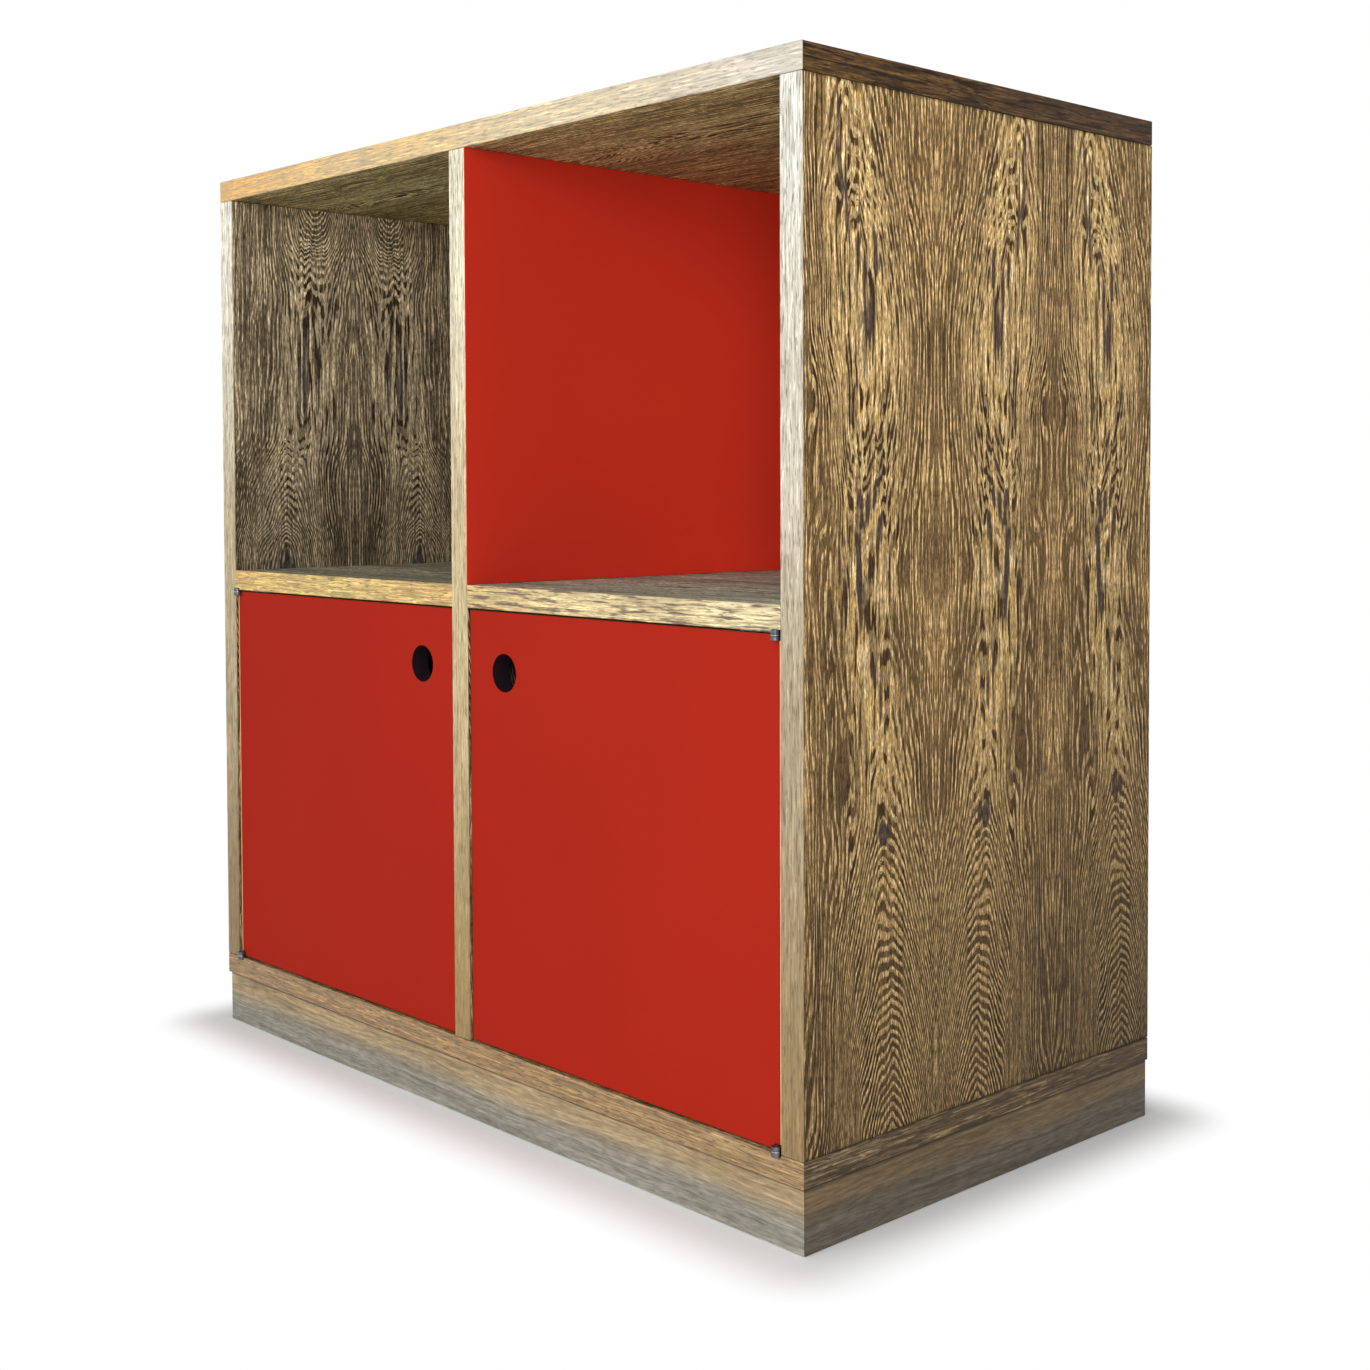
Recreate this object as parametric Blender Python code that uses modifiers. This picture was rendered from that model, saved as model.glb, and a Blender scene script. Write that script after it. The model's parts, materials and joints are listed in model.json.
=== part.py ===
# Small veneered credenza on a plinth: two open niches above two cupboards whose doors
# turn on pivot hinges at their outer corners. Metres, +Z up, the front faces -Y, and the
# origin is on the floor under the middle of the whole, hinge knuckles included.
import math

import bmesh
import bpy
from mathutils import Matrix, Vector

# Carcass boards
WIDTH = 0.750
DEPTH = 0.400
PLINTH_HEIGHT = 0.045
BOTTOM_THICKNESS = 0.018
CUPBOARD_HEIGHT = 0.346
SHELF_THICKNESS = 0.018
NICHE_HEIGHT = 0.344
TOP_THICKNESS = 0.019
SIDE_THICKNESS = 0.020
DIVIDER_THICKNESS = 0.020
ARRIS = 0.0005
GAP = 0.0003  # left between pieces that touch

# Back panel, seated in rebates and screwed
BACK_THICKNESS = 0.008
BACK_LAP = 0.009
BACK_SCREW_LENGTH = 0.025
BACK_SCREW_FROM_END = 0.060
BACK_SCREW_FROM_DIVIDER = 0.180

# Laminate on the divider's right face, above the shelf
FACING_THICKNESS = 0.0010

# Plinth
PLINTH_THICKNESS = 0.018
PLINTH_FRONT_INSET = 0.0025
PLINTH_SIDE_INSET = 0.001
PLINTH_BACK_INSET = 0.0015
BLOCK_SIZE = 0.034
BLOCK_LIFT = 0.004
BLOCK_SCREW_SPACING = 0.016
BLOCK_SCREW_BITE = 0.012

# Dowels, glued into the ends of the uprights and shelves
DOWEL_RADIUS = 0.004
DOWEL_ROOT = 0.010  # of each dowel, how much is glued in its own board
DOWEL_WEB = 0.008  # wood left under a hole in a board's face
DIVIDER_WEB = 0.004  # wood left between the dowels of the two shelves
DOWEL_FROM_EDGE = 0.050

# Doors
DOOR_THICKNESS = 0.016
DOOR_RECESS = 0.0025
DOOR_SIDE_GAP = 0.0015
DOOR_FREE_GAP = 0.0015
DOOR_PLATE_GAP = 0.0005
EDGING_THICKNESS = 0.0015

# Finger holes
HOLE_RADIUS = 0.015
HOLE_FROM_FREE_EDGE = 0.0435
HOLE_FROM_TOP = 0.047

# Pivot hinges
AXIS_INSET = 0.0042  # from the side's inner face
KNUCKLE_RADIUS = 0.0034
LEAF_THICKNESS = 0.0028
LEAF_WIDTH = 0.010
LEAF_LENGTH = 0.042
LEAF_HEEL = 0.0022
PLATE_LET_IN = 0.0015
WASHER_THICKNESS = 0.0006
PIN_RADIUS = 0.0015
PIN_CLEARANCE = 0.0001
LEAF_SCREW_LENGTH = 0.014
LEAF_SCREW_FIRST = 0.013
LEAF_SCREW_SPACING = 0.019

# Magnetic catches under the shelves, and their strike plates on the doors
CATCH_FROM_DIVIDER = 0.060
CATCH_WIDTH = 0.028
CATCH_HEIGHT = 0.0125
CATCH_DEPTH = 0.014
CATCH_SETBACK = 0.0010
EAR_WIDTH = 0.008
EAR_THICKNESS = 0.003
EAR_DRAFT = 0.0003  # the ears thin towards their tips, as moulded ones do
CATCH_SCREW_LENGTH = 0.012
POLE_WIDTH = 0.022
POLE_DEPTH = 0.011
POLE_THICKNESS = 0.001
MAGNET_THICKNESS = 0.004
MAGNET_SETBACK = 0.002
STRIKE_WIDTH = 0.038
STRIKE_HEIGHT = 0.010
STRIKE_THICKNESS = 0.0012
STRIKE_CORNER = 0.002
STRIKE_SCREW_SPACING = 0.029
STRIKE_SCREW_LENGTH = 0.010

# Countersunk screws: head radius, head depth and shank radius
SMALL_SCREW = (0.0029, 0.0016, 0.0014)
STOUT_SCREW = (0.0040, 0.0022, 0.0020)
SCREW_TIP = 0.003

# Facets
SCREW_SIDES = 10
DOWEL_SIDES = 8
PIN_SIDES = 24
HOLE_SIDES = 32
ARC_STEPS = 10
FILL_SCALE = 1000  # outlines are filled enlarged, because a fill drops tiny triangles

# Levels and faces
FRONT = (KNUCKLE_RADIUS - DEPTH) / 2
BACK = FRONT + DEPTH
BACK_FACE = BACK - BACK_THICKNESS
BOTTOM_TOP = PLINTH_HEIGHT + BOTTOM_THICKNESS
SHELF_UNDER = BOTTOM_TOP + CUPBOARD_HEIGHT
SHELF_TOP = SHELF_UNDER + SHELF_THICKNESS
TOP_UNDER = SHELF_TOP + NICHE_HEIGHT
HEIGHT = TOP_UNDER + TOP_THICKNESS
SIDE_INNER = WIDTH / 2 - SIDE_THICKNESS
SIDE_MIDDLE = WIDTH / 2 - SIDE_THICKNESS / 2
DIVIDER_FACE = DIVIDER_THICKNESS / 2
BAY_WIDTH = SIDE_INNER - DIVIDER_FACE

# Hinge levels, counted from the carcass board's face towards the door
AXIS_X = SIDE_INNER - AXIS_INSET
PLATE_OUT = LEAF_THICKNESS - PLATE_LET_IN
WASHER_IN = PLATE_OUT + GAP
WASHER_OUT = WASHER_IN + WASHER_THICKNESS
LEAF_IN = WASHER_OUT + GAP
LEAF_OUT = LEAF_IN + LEAF_THICKNESS
DOOR_END_GAP = PLATE_OUT + DOOR_PLATE_GAP
LEAF_MIDDLE = DOOR_RECESS + DOOR_THICKNESS / 2

# Door faces; x runs from the hinge axis to the door's free edge, y from the front back
DOOR_FROM = DOOR_SIDE_GAP - AXIS_INSET
DOOR_TO = BAY_WIDTH - AXIS_INSET - DOOR_FREE_GAP
DOOR_LOW = BOTTOM_TOP + DOOR_END_GAP
DOOR_HIGH = SHELF_UNDER - DOOR_END_GAP
DOOR_INNER = FRONT + DOOR_RECESS + DOOR_THICKNESS

# Catch levels
STRIKE_FACE = DOOR_INNER + GAP + STRIKE_THICKNESS
POLE_FRONT = STRIKE_FACE + GAP
CATCH_FRONT = POLE_FRONT + CATCH_SETBACK
POLE_STACK = MAGNET_THICKNESS + 2 * POLE_THICKNESS
CATCH_MIDDLE = SHELF_UNDER - GAP - (EAR_THICKNESS + CATCH_HEIGHT) / 2

LEFT = -1
RIGHT = 1
SIDES = {"left": LEFT, "right": RIGHT}


def clear_scene():
    for obj in list(bpy.data.objects):
        bpy.data.objects.remove(obj, do_unlink=True)


def collection(name):
    made = bpy.data.collections.new(name)
    bpy.context.scene.collection.children.link(made)
    return made


def material(name, colour, roughness, metallic=0.0):
    made = bpy.data.materials.new(name)
    made.use_nodes = True
    shader = made.node_tree.nodes["Principled BSDF"]
    shader.inputs["Base Color"].default_value = (*colour, 1.0)
    shader.inputs["Roughness"].default_value = roughness
    shader.inputs["Metallic"].default_value = metallic
    made.diffuse_color = (*colour, 1.0)
    return made


clear_scene()
PARTS = collection("credenza")
CUTTERS = collection("cutters")
WENGE = material("wenge veneer", (0.30, 0.18, 0.08), 0.45)
RED = material("red laminate", (0.43, 0.023, 0.012), 0.5)
PALE = material("pale edging", (0.72, 0.45, 0.25), 0.5)
FERRITE = material("ferrite magnet", (0.06, 0.06, 0.065), 0.5, 0.6)
STEEL = material("hinge steel", (0.45, 0.45, 0.50), 0.3, 1.0)
ZINC = material("zinc screws", (0.60, 0.58, 0.52), 0.35, 1.0)
PLY = material("stained plywood", (0.16, 0.10, 0.06), 0.6)
PINE = material("pine blocks", (0.66, 0.48, 0.28), 0.65)
IVORY = material("ivory plastic", (0.70, 0.66, 0.56), 0.4)


def keep(obj, name, look=None):
    # files a finished piece, or a cutter when it has no look
    obj.name = name
    obj.data.name = name
    for holder in list(obj.users_collection):
        holder.objects.unlink(obj)
    if look is None:
        CUTTERS.objects.link(obj)
        obj.hide_render = True
        obj.display_type = "WIRE"
    else:
        PARTS.objects.link(obj)
        obj.data.materials.clear()
        obj.data.materials.append(look)
    return obj


def box(name, low, high, look=None, arris=0.0):
    low, high = Vector(map(min, zip(low, high))), Vector(map(max, zip(low, high)))
    bpy.ops.mesh.primitive_cube_add(size=1, location=(low + high) / 2)
    obj = bpy.context.object
    obj.scale = high - low
    bpy.ops.object.transform_apply(location=False, rotation=False, scale=True)
    if arris:
        bevel = obj.modifiers.new("arris", "BEVEL")
        bevel.width = arris
        bevel.segments = 1
    return keep(obj, name, look)


def settled(obj, weld=0.000001):
    # the object's evaluated mesh, with its doubled points welded and its faces outwards
    graph = bpy.context.evaluated_depsgraph_get()
    mesh = bpy.data.meshes.new_from_object(obj.evaluated_get(graph))
    work = bmesh.new()
    work.from_mesh(mesh)
    bmesh.ops.remove_doubles(work, verts=work.verts, dist=weld)
    bmesh.ops.recalc_face_normals(work, faces=work.faces)
    work.to_mesh(mesh)
    work.free()
    bpy.data.objects.remove(obj, do_unlink=True)
    return mesh


def prism(name, outlines, low, high, look=None, stand=Matrix()):
    # flat outlines, the first one outside and the others its holes, extruded from low to high
    curve = bpy.data.curves.new(name, "CURVE")
    curve.dimensions = "2D"
    curve.fill_mode = "BOTH"
    curve.extrude = FILL_SCALE * (high - low) / 2
    for outline in outlines:
        spline = curve.splines.new("POLY")
        spline.points.add(len(outline) - 1)
        for point, (x, y) in zip(spline.points, outline):
            point.co = (FILL_SCALE * x, FILL_SCALE * y, 0, 1)
        spline.use_cyclic_u = True
    guide = bpy.data.objects.new(name, curve)
    bpy.context.scene.collection.objects.link(guide)
    mesh = settled(guide, weld=0.001)
    bpy.data.curves.remove(curve)
    lift = Matrix.Translation((0, 0, (low + high) / 2))
    mesh.transform(stand @ lift @ Matrix.Scale(1 / FILL_SCALE, 4))
    return keep(bpy.data.objects.new(name, mesh), name, look)


def turned(profile, steps, closed=False):
    # mesh of (radius, height) points turned about Z, listed down the outside
    count = len(profile)
    edges = [(i, i + 1) for i in range(count - 1)]
    if closed:
        edges.append((count - 1, 0))
    mesh = bpy.data.meshes.new("profile")
    mesh.from_pydata([(radius, 0, height) for radius, height in profile], edges, [])
    guide = bpy.data.objects.new("profile", mesh)
    bpy.context.scene.collection.objects.link(guide)
    screw = guide.modifiers.new("turn", "SCREW")
    screw.steps = steps
    screw.render_steps = steps
    screw.use_merge_vertices = True
    screw.merge_threshold = 0.00001
    made = settled(guide)
    bpy.data.meshes.remove(mesh)
    made.shade_smooth()
    made.set_sharp_from_angle(angle=math.radians(35))
    return made


def single(name, mesh, place, look):
    mesh.transform(place)
    return keep(bpy.data.objects.new(name, mesh), name, look)


def group(name, mesh, places):
    # one cutter of several copies of a mesh, each at its own matrix
    work = bmesh.new()
    for place in places:
        copy = mesh.copy()
        copy.transform(place)
        work.from_mesh(copy)
        bpy.data.meshes.remove(copy)
    joined = bpy.data.meshes.new(name)
    work.to_mesh(joined)
    work.free()
    return keep(bpy.data.objects.new(name, joined), name)


def combine(obj, operation, others):
    for other in others:
        boolean = obj.modifiers.new(other.name, "BOOLEAN")
        boolean.operation = operation
        boolean.solver = "EXACT"
        boolean.object = other
    return obj


def cut(obj, *cutters):
    return combine(obj, "DIFFERENCE", cutters)


def rounded(width, height, radius):
    # outline of a plate with round corners, about its own middle
    points = []
    for quarter, (side, up) in enumerate([(1, 1), (-1, 1), (-1, -1), (1, -1)]):
        for step in range(4):
            angle = math.radians(90 * quarter + 30 * step)
            points.append(
                (
                    side * (width / 2 - radius) + radius * math.cos(angle),
                    up * (height / 2 - radius) + radius * math.sin(angle),
                )
            )
    return points


def circle(x, y, radius, sides):
    turns = [2 * math.pi * i / sides for i in range(sides)]
    return [(x + radius * math.cos(turn), y + radius * math.sin(turn)) for turn in turns]


def facing(point, direction):
    # matrix that puts a turned piece's top at the point, with its tip along the direction
    turn = Vector((0, 0, -1)).rotation_difference(Vector(direction)).to_matrix().to_4x4()
    return Matrix.Translation(point) @ turn


def screw_profile(length, kind, grow=0.0):
    head, depth, shank = (size + grow for size in kind)
    depth -= grow
    points = [(0, grow), (head, grow)]
    if grow:
        points.append((head, 0))
    points += [(shank, -depth), (shank, SCREW_TIP - length), (0, -length - grow)]
    return points


def screw_holes(name, length, kind, places):
    # cutter of the countersunk holes of a row of screws
    return group(name, turned(screw_profile(length, kind, GAP), SCREW_SIDES), places)


def dowels(board, name, reach, places):
    # glues dowels into a board's end, and gives the cutter of their holes in its neighbours;
    # each place is a dowel's free end, with its tip towards the board
    length = reach + DOWEL_ROOT
    wide = DOWEL_RADIUS + GAP
    solid = turned([(0, 0), (DOWEL_RADIUS, 0), (DOWEL_RADIUS, -length), (0, -length)], DOWEL_SIDES)
    room = turned([(0, GAP), (wide, GAP), (wide, -length), (0, -length)], DOWEL_SIDES)
    combine(board, "UNION", [group(name, solid, places)])
    return group(name + "_holes", room, places)


def dowel_rows():
    return FRONT + DOWEL_FROM_EDGE, (FRONT + BACK) / 2, BACK - DOWEL_FROM_EDGE


def board_ends(x):
    # places of the dowels in an upright's two ends
    top_reach = TOP_THICKNESS - DOWEL_WEB
    bottom_reach = BOTTOM_THICKNESS - DOWEL_WEB
    top = [facing((x, y, TOP_UNDER + top_reach), (0, 0, -1)) for y in dowel_rows()]
    bottom = [facing((x, y, BOTTOM_TOP - bottom_reach), (0, 0, 1)) for y in dowel_rows()]
    return (top_reach, top), (bottom_reach, bottom)


def upright(name, low_x, high_x, back, top_board, bottom_board):
    board = box(
        name, (low_x, FRONT, BOTTOM_TOP + GAP), (high_x, back, TOP_UNDER - GAP), WENGE, ARRIS
    )
    (top_reach, top), (bottom_reach, bottom) = board_ends((low_x + high_x) / 2)
    cut(top_board, dowels(board, name + "_top_dowels", top_reach, top))
    cut(bottom_board, dowels(board, name + "_bottom_dowels", bottom_reach, bottom))
    return board


def shelf(name, hand, side, divider):
    board = box(
        name + "_shelf",
        (hand * (SIDE_INNER - GAP), FRONT, SHELF_UNDER),
        (hand * (DIVIDER_FACE + GAP), BACK_FACE - GAP, SHELF_TOP),
        WENGE,
        ARRIS,
    )
    middle = SHELF_UNDER + SHELF_THICKNESS / 2
    side_reach = SIDE_THICKNESS - DOWEL_WEB
    divider_reach = (DIVIDER_THICKNESS - DIVIDER_WEB) / 2
    outer_x = hand * (SIDE_INNER + side_reach)
    inner_x = hand * (DIVIDER_FACE - divider_reach)
    outer = [facing((outer_x, y, middle), (-hand, 0, 0)) for y in dowel_rows()]
    inner = [facing((inner_x, y, middle), (hand, 0, 0)) for y in dowel_rows()]
    cut(side, dowels(board, name + "_outer_dowels", side_reach, outer))
    cut(divider, dowels(board, name + "_inner_dowels", divider_reach, inner))
    return board


def carcass():
    # the seven boards, doweled together, with rebates for the back
    half = WIDTH / 2
    top_board = box("top_board", (-half, FRONT, TOP_UNDER), (half, BACK, HEIGHT), WENGE, ARRIS)
    bottom_board = box(
        "bottom_board", (-half, FRONT, PLINTH_HEIGHT), (half, BACK, BOTTOM_TOP), WENGE, ARRIS
    )
    left_side = upright("left_side", -half, -SIDE_INNER, BACK, top_board, bottom_board)
    right_side = upright("right_side", SIDE_INNER, half, BACK, top_board, bottom_board)
    divider = upright(
        "divider", -DIVIDER_FACE, DIVIDER_FACE, BACK_FACE - GAP, top_board, bottom_board
    )
    left_shelf = shelf("left", LEFT, left_side, divider)
    right_shelf = shelf("right", RIGHT, right_side, divider)
    rebate_x = SIDE_INNER + BACK_LAP
    rebate = box(
        "back_rebate",
        (-rebate_x, BACK_FACE - GAP, BOTTOM_TOP - BACK_LAP),
        (rebate_x, BACK + BACK_THICKNESS, TOP_UNDER + BACK_LAP),
    )
    for board in (top_board, bottom_board, left_side, right_side):
        cut(board, rebate)
    box(
        "divider_facing",
        (DIVIDER_FACE + GAP, FRONT, SHELF_TOP + GAP),
        (DIVIDER_FACE + GAP + FACING_THICKNESS, BACK_FACE - GAP, TOP_UNDER - GAP),
        RED,
    )
    made = (top_board, bottom_board, left_side, right_side, divider, left_shelf, right_shelf)
    return {board.name: board for board in made}


def back_panel(boards):
    half = SIDE_INNER + BACK_LAP - GAP
    low = BOTTOM_TOP - BACK_LAP + GAP
    high = TOP_UNDER + BACK_LAP - GAP
    panel = box("back_panel", (-half, BACK_FACE, low), (half, BACK, high), PLY, ARRIS)
    edge_x = SIDE_INNER + BACK_LAP / 2
    middle = (low + high) / 2
    levels = (low + BACK_SCREW_FROM_END, middle, high - BACK_SCREW_FROM_END)
    spots = [(hand * edge_x, z) for hand in SIDES.values() for z in levels]
    spots += [
        (hand * BACK_SCREW_FROM_DIVIDER, z)
        for hand in SIDES.values()
        for z in (BOTTOM_TOP - BACK_LAP / 2, TOP_UNDER + BACK_LAP / 2)
    ]
    spots += [(0.0, levels[0]), (0.0, levels[2])]
    places = [facing((x, BACK - ARRIS, z), (0, -1, 0)) for x, z in spots]
    holes = screw_holes("back_screw_holes", BACK_SCREW_LENGTH, SMALL_SCREW, places)
    cut(panel, holes)
    for name in ("left_side", "right_side", "top_board", "bottom_board", "divider"):
        cut(boards[name], holes)


def plinth(boards):
    # front and side boards mitred at the front corners, and the back board between the sides
    x = WIDTH / 2 - PLINTH_SIDE_INSET
    y0 = FRONT + PLINTH_FRONT_INSET
    y1 = BACK - PLINTH_BACK_INSET
    t = PLINTH_THICKNESS
    top = PLINTH_HEIGHT - GAP
    prism("plinth_front", [[(-x, y0), (x, y0), (x - t, y0 + t), (t - x, y0 + t)]], 0, top, WENGE)
    for name, hand in SIDES.items():
        outline = [
            (hand * x, y0 + GAP),
            (hand * x, y1),
            (hand * (x - t), y1),
            (hand * (x - t), y0 + t + GAP),
        ]
        prism("plinth_" + name, [outline], 0, top, WENGE)
    box("plinth_back", (GAP + t - x, y1 - t, 0), (x - t - GAP, y1, top), WENGE)

    # glued corner blocks, with two screws each up into the bottom board
    block_x = x - t - GAP - BLOCK_SIZE / 2
    front_y = y0 + t + GAP + BLOCK_SIZE / 2
    back_y = y1 - t - GAP - BLOCK_SIZE / 2
    half = BLOCK_SIZE / 2
    corner = [(-half, -half), (half, -half), (half, 0), (0, half), (-half, half)]
    corners = {
        "front_left": (-block_x, front_y, 0),
        "front_right": (block_x, front_y, 90),
        "back_right": (block_x, back_y, 180),
        "back_left": (-block_x, back_y, 270),
    }
    offset = BLOCK_SCREW_SPACING / 2
    inward = BLOCK_SIZE / 6  # the screws stand in the block's square half, near the plinth
    for name, (block_x, block_y, turn) in corners.items():
        place = Matrix.Translation((block_x, block_y, 0))
        place @= Matrix.Rotation(math.radians(turn), 4, "Z")
        block = prism("plinth_block_" + name, [corner], BLOCK_LIFT, top, PINE, place)
        screw_places = [
            place
            @ Matrix.Translation((step - inward, -step - inward, BLOCK_LIFT))
            @ Matrix.Rotation(math.pi, 4, "X")
            for step in (-offset, offset)
        ]
        length = top - BLOCK_LIFT + BLOCK_SCREW_BITE
        holes = screw_holes(block.name + "_screw_holes", length, STOUT_SCREW, screw_places)
        cut(block, holes)
        cut(boards["bottom_board"], holes)


def at(hand, x, y):
    # a point given from the hinge axis, towards the free edge and towards the back
    return hand * (AXIS_X - x), FRONT + y


def levels(face, inward, start, end):
    # heights at two distances from a carcass board's face, low one first
    return sorted((face + inward * start, face + inward * end))


def leaf_outline(hand):
    # knuckle disc, neck, and the leaf with its round end
    near = LEAF_MIDDLE - LEAF_WIDTH / 2
    far = LEAF_MIDDLE + LEAF_WIDTH / 2
    centre = LEAF_LENGTH - LEAF_WIDTH / 2
    points = []
    for step in range(ARC_STEPS + 1):
        angle = math.pi * (1 + step / ARC_STEPS)
        points.append((KNUCKLE_RADIUS * math.cos(angle), KNUCKLE_RADIUS * math.sin(angle)))
    points.append((KNUCKLE_RADIUS, near))
    for step in range(ARC_STEPS + 1):
        angle = math.pi * (step / ARC_STEPS - 0.5)
        points.append(
            (centre + LEAF_WIDTH / 2 * math.cos(angle), LEAF_MIDDLE + LEAF_WIDTH / 2 * math.sin(angle))
        )
    points.append((-LEAF_HEEL, far))
    return [at(hand, x, y) for x, y in points]


def mortise_outline(hand):
    # room for a leaf, open to the front at the knuckle and to the board's end
    half = LEAF_WIDTH / 2 + GAP
    centre = LEAF_LENGTH - LEAF_WIDTH / 2
    front = -2 * KNUCKLE_RADIUS
    points = [(-AXIS_INSET, front), (KNUCKLE_RADIUS + GAP, front)]
    points.append((KNUCKLE_RADIUS + GAP, LEAF_MIDDLE - half))
    for step in range(ARC_STEPS + 1):
        angle = math.pi * (step / ARC_STEPS - 0.5)
        points.append((centre + half * math.cos(angle), LEAF_MIDDLE + half * math.sin(angle)))
    points.append((-AXIS_INSET, LEAF_MIDDLE + half))
    return [at(hand, x, y) for x, y in points]


def hinge_axis(name, hand):
    empty = bpy.data.objects.new(name, None)
    empty.location = (hand * AXIS_X, FRONT, (DOOR_LOW + DOOR_HIGH) / 2)
    empty.empty_display_size = 0.03
    PARTS.objects.link(empty)
    return empty


def hang(empty, *pieces):
    # parents a door's pieces to its axis without moving them
    bpy.context.view_layer.update()
    for piece in pieces:
        piece.parent = empty
        piece.matrix_parent_inverse = empty.matrix_world.inverted()


def leaf_screws(name, hand, level, direction):
    # two screws along a leaf, and the cutter of their holes
    spots = (LEAF_SCREW_FIRST, LEAF_SCREW_FIRST + LEAF_SCREW_SPACING)
    places = [facing((*at(hand, x, LEAF_MIDDLE), level), (0, 0, direction)) for x in spots]
    profile = screw_profile(LEAF_SCREW_LENGTH, SMALL_SCREW)
    made = [
        single(f"{name}_screw_{number}", turned(profile, SCREW_SIDES), place, ZINC)
        for number, place in enumerate(places, 1)
    ]
    return made, screw_holes(name + "_screw_holes", LEAF_SCREW_LENGTH, SMALL_SCREW, places)


def pivot_hinge(prefix, hand, face, inward, board, panel, edging):
    # plate let into the carcass board, washer, pin, and the leaf let into the door's edge;
    # inward is the direction from the carcass board's face to the door
    x, y = at(hand, 0, 0)
    pin_hole = circle(x, y, PIN_RADIUS + PIN_CLEARANCE, PIN_SIDES)
    outline = [leaf_outline(hand), pin_hole]
    plate_levels = levels(face, inward, -PLATE_LET_IN, PLATE_OUT)
    plate = prism(prefix + "_hinge_plate", outline, *plate_levels, STEEL)
    leaf = prism(prefix + "_door_leaf", outline, *levels(face, inward, LEAF_IN, LEAF_OUT), STEEL)
    half = WASHER_THICKNESS / 2
    bore = PIN_RADIUS + PIN_CLEARANCE
    ring = [(KNUCKLE_RADIUS, half), (KNUCKLE_RADIUS, -half), (bore, -half), (bore, half)]
    washer_place = Matrix.Translation((x, y, face + inward * (WASHER_IN + half)))
    single(prefix + "_hinge_washer", turned(ring, PIN_SIDES, closed=True), washer_place, ZINC)
    length = PLATE_LET_IN + LEAF_OUT
    pin = turned([(0, 0), (PIN_RADIUS, 0), (PIN_RADIUS, -length), (0, -length)], PIN_SIDES)
    pin_place = facing((x, y, face - inward * PLATE_LET_IN), (0, 0, inward))
    single(prefix + "_hinge_pin", pin, pin_place, STEEL)

    room = [mortise_outline(hand)]
    board_levels = levels(face, inward, -PLATE_LET_IN - GAP, PLATE_OUT)
    board_mortise = prism(prefix + "_board_mortise", room, *board_levels)
    door_levels = levels(face, inward, 0, LEAF_OUT + GAP)
    door_mortise = prism(prefix + "_door_mortise", room, *door_levels)
    _, plate_holes = leaf_screws(prefix + "_plate", hand, face + inward * PLATE_OUT, -inward)
    door_screws, leaf_holes = leaf_screws(prefix + "_leaf", hand, face + inward * LEAF_IN, inward)
    cut(plate, plate_holes)
    cut(board, board_mortise, plate_holes)
    cut(leaf, leaf_holes)
    cut(panel, door_mortise, leaf_holes)
    cut(edging, door_mortise)
    return [leaf, *door_screws]


def door(name, hand, boards):
    # door panel with its edging, hinge leaves and strike plate
    x0, y0 = at(hand, DOOR_FROM + EDGING_THICKNESS + GAP, DOOR_RECESS)
    x1, y1 = at(hand, DOOR_TO, DOOR_RECESS + DOOR_THICKNESS)
    panel = box(name + "_door", (x0, y0, DOOR_LOW), (x1, y1, DOOR_HIGH), RED, ARRIS)
    edge_x = at(hand, DOOR_FROM, 0)[0]
    edging = box(
        name + "_door_edging",
        (edge_x, y0, DOOR_LOW),
        (edge_x - hand * EDGING_THICKNESS, y1, DOOR_HIGH),
        PALE,
    )

    hole_x = at(hand, DOOR_TO - HOLE_FROM_FREE_EDGE, 0)[0]
    reach = DOOR_THICKNESS
    drill = [(0, reach), (HOLE_RADIUS, reach), (HOLE_RADIUS, -reach), (0, -reach)]
    place = facing((hole_x, (y0 + y1) / 2, DOOR_HIGH - HOLE_FROM_TOP), (0, 1, 0))
    cut(panel, group(name + "_finger_hole", turned(drill, HOLE_SIDES), [place]))

    shelf_board = boards[name + "_shelf"]
    bottom_board = boards["bottom_board"]
    top = pivot_hinge(name + "_top", hand, SHELF_UNDER, -1, shelf_board, panel, edging)
    bottom = pivot_hinge(name + "_bottom", hand, BOTTOM_TOP, 1, bottom_board, panel, edging)

    strike_x = hand * (DIVIDER_FACE + CATCH_FROM_DIVIDER)
    strike = prism(
        name + "_strike_plate",
        [rounded(STRIKE_WIDTH, STRIKE_HEIGHT, STRIKE_CORNER)],
        -STRIKE_FACE,
        -DOOR_INNER - GAP,
        STEEL,
        Matrix.Translation((strike_x, 0, CATCH_MIDDLE)) @ Matrix.Rotation(math.pi / 2, 4, "X"),
    )
    half = STRIKE_SCREW_SPACING / 2
    strike_places = [
        facing((strike_x + step, STRIKE_FACE, CATCH_MIDDLE), (0, -1, 0)) for step in (-half, half)
    ]
    holes = screw_holes(
        name + "_strike_screw_holes", STRIKE_SCREW_LENGTH, SMALL_SCREW, strike_places
    )
    cut(strike, holes)
    cut(panel, holes)
    hang(hinge_axis(name + "_door_axis", hand), panel, edging, strike, *top, *bottom)


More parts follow.
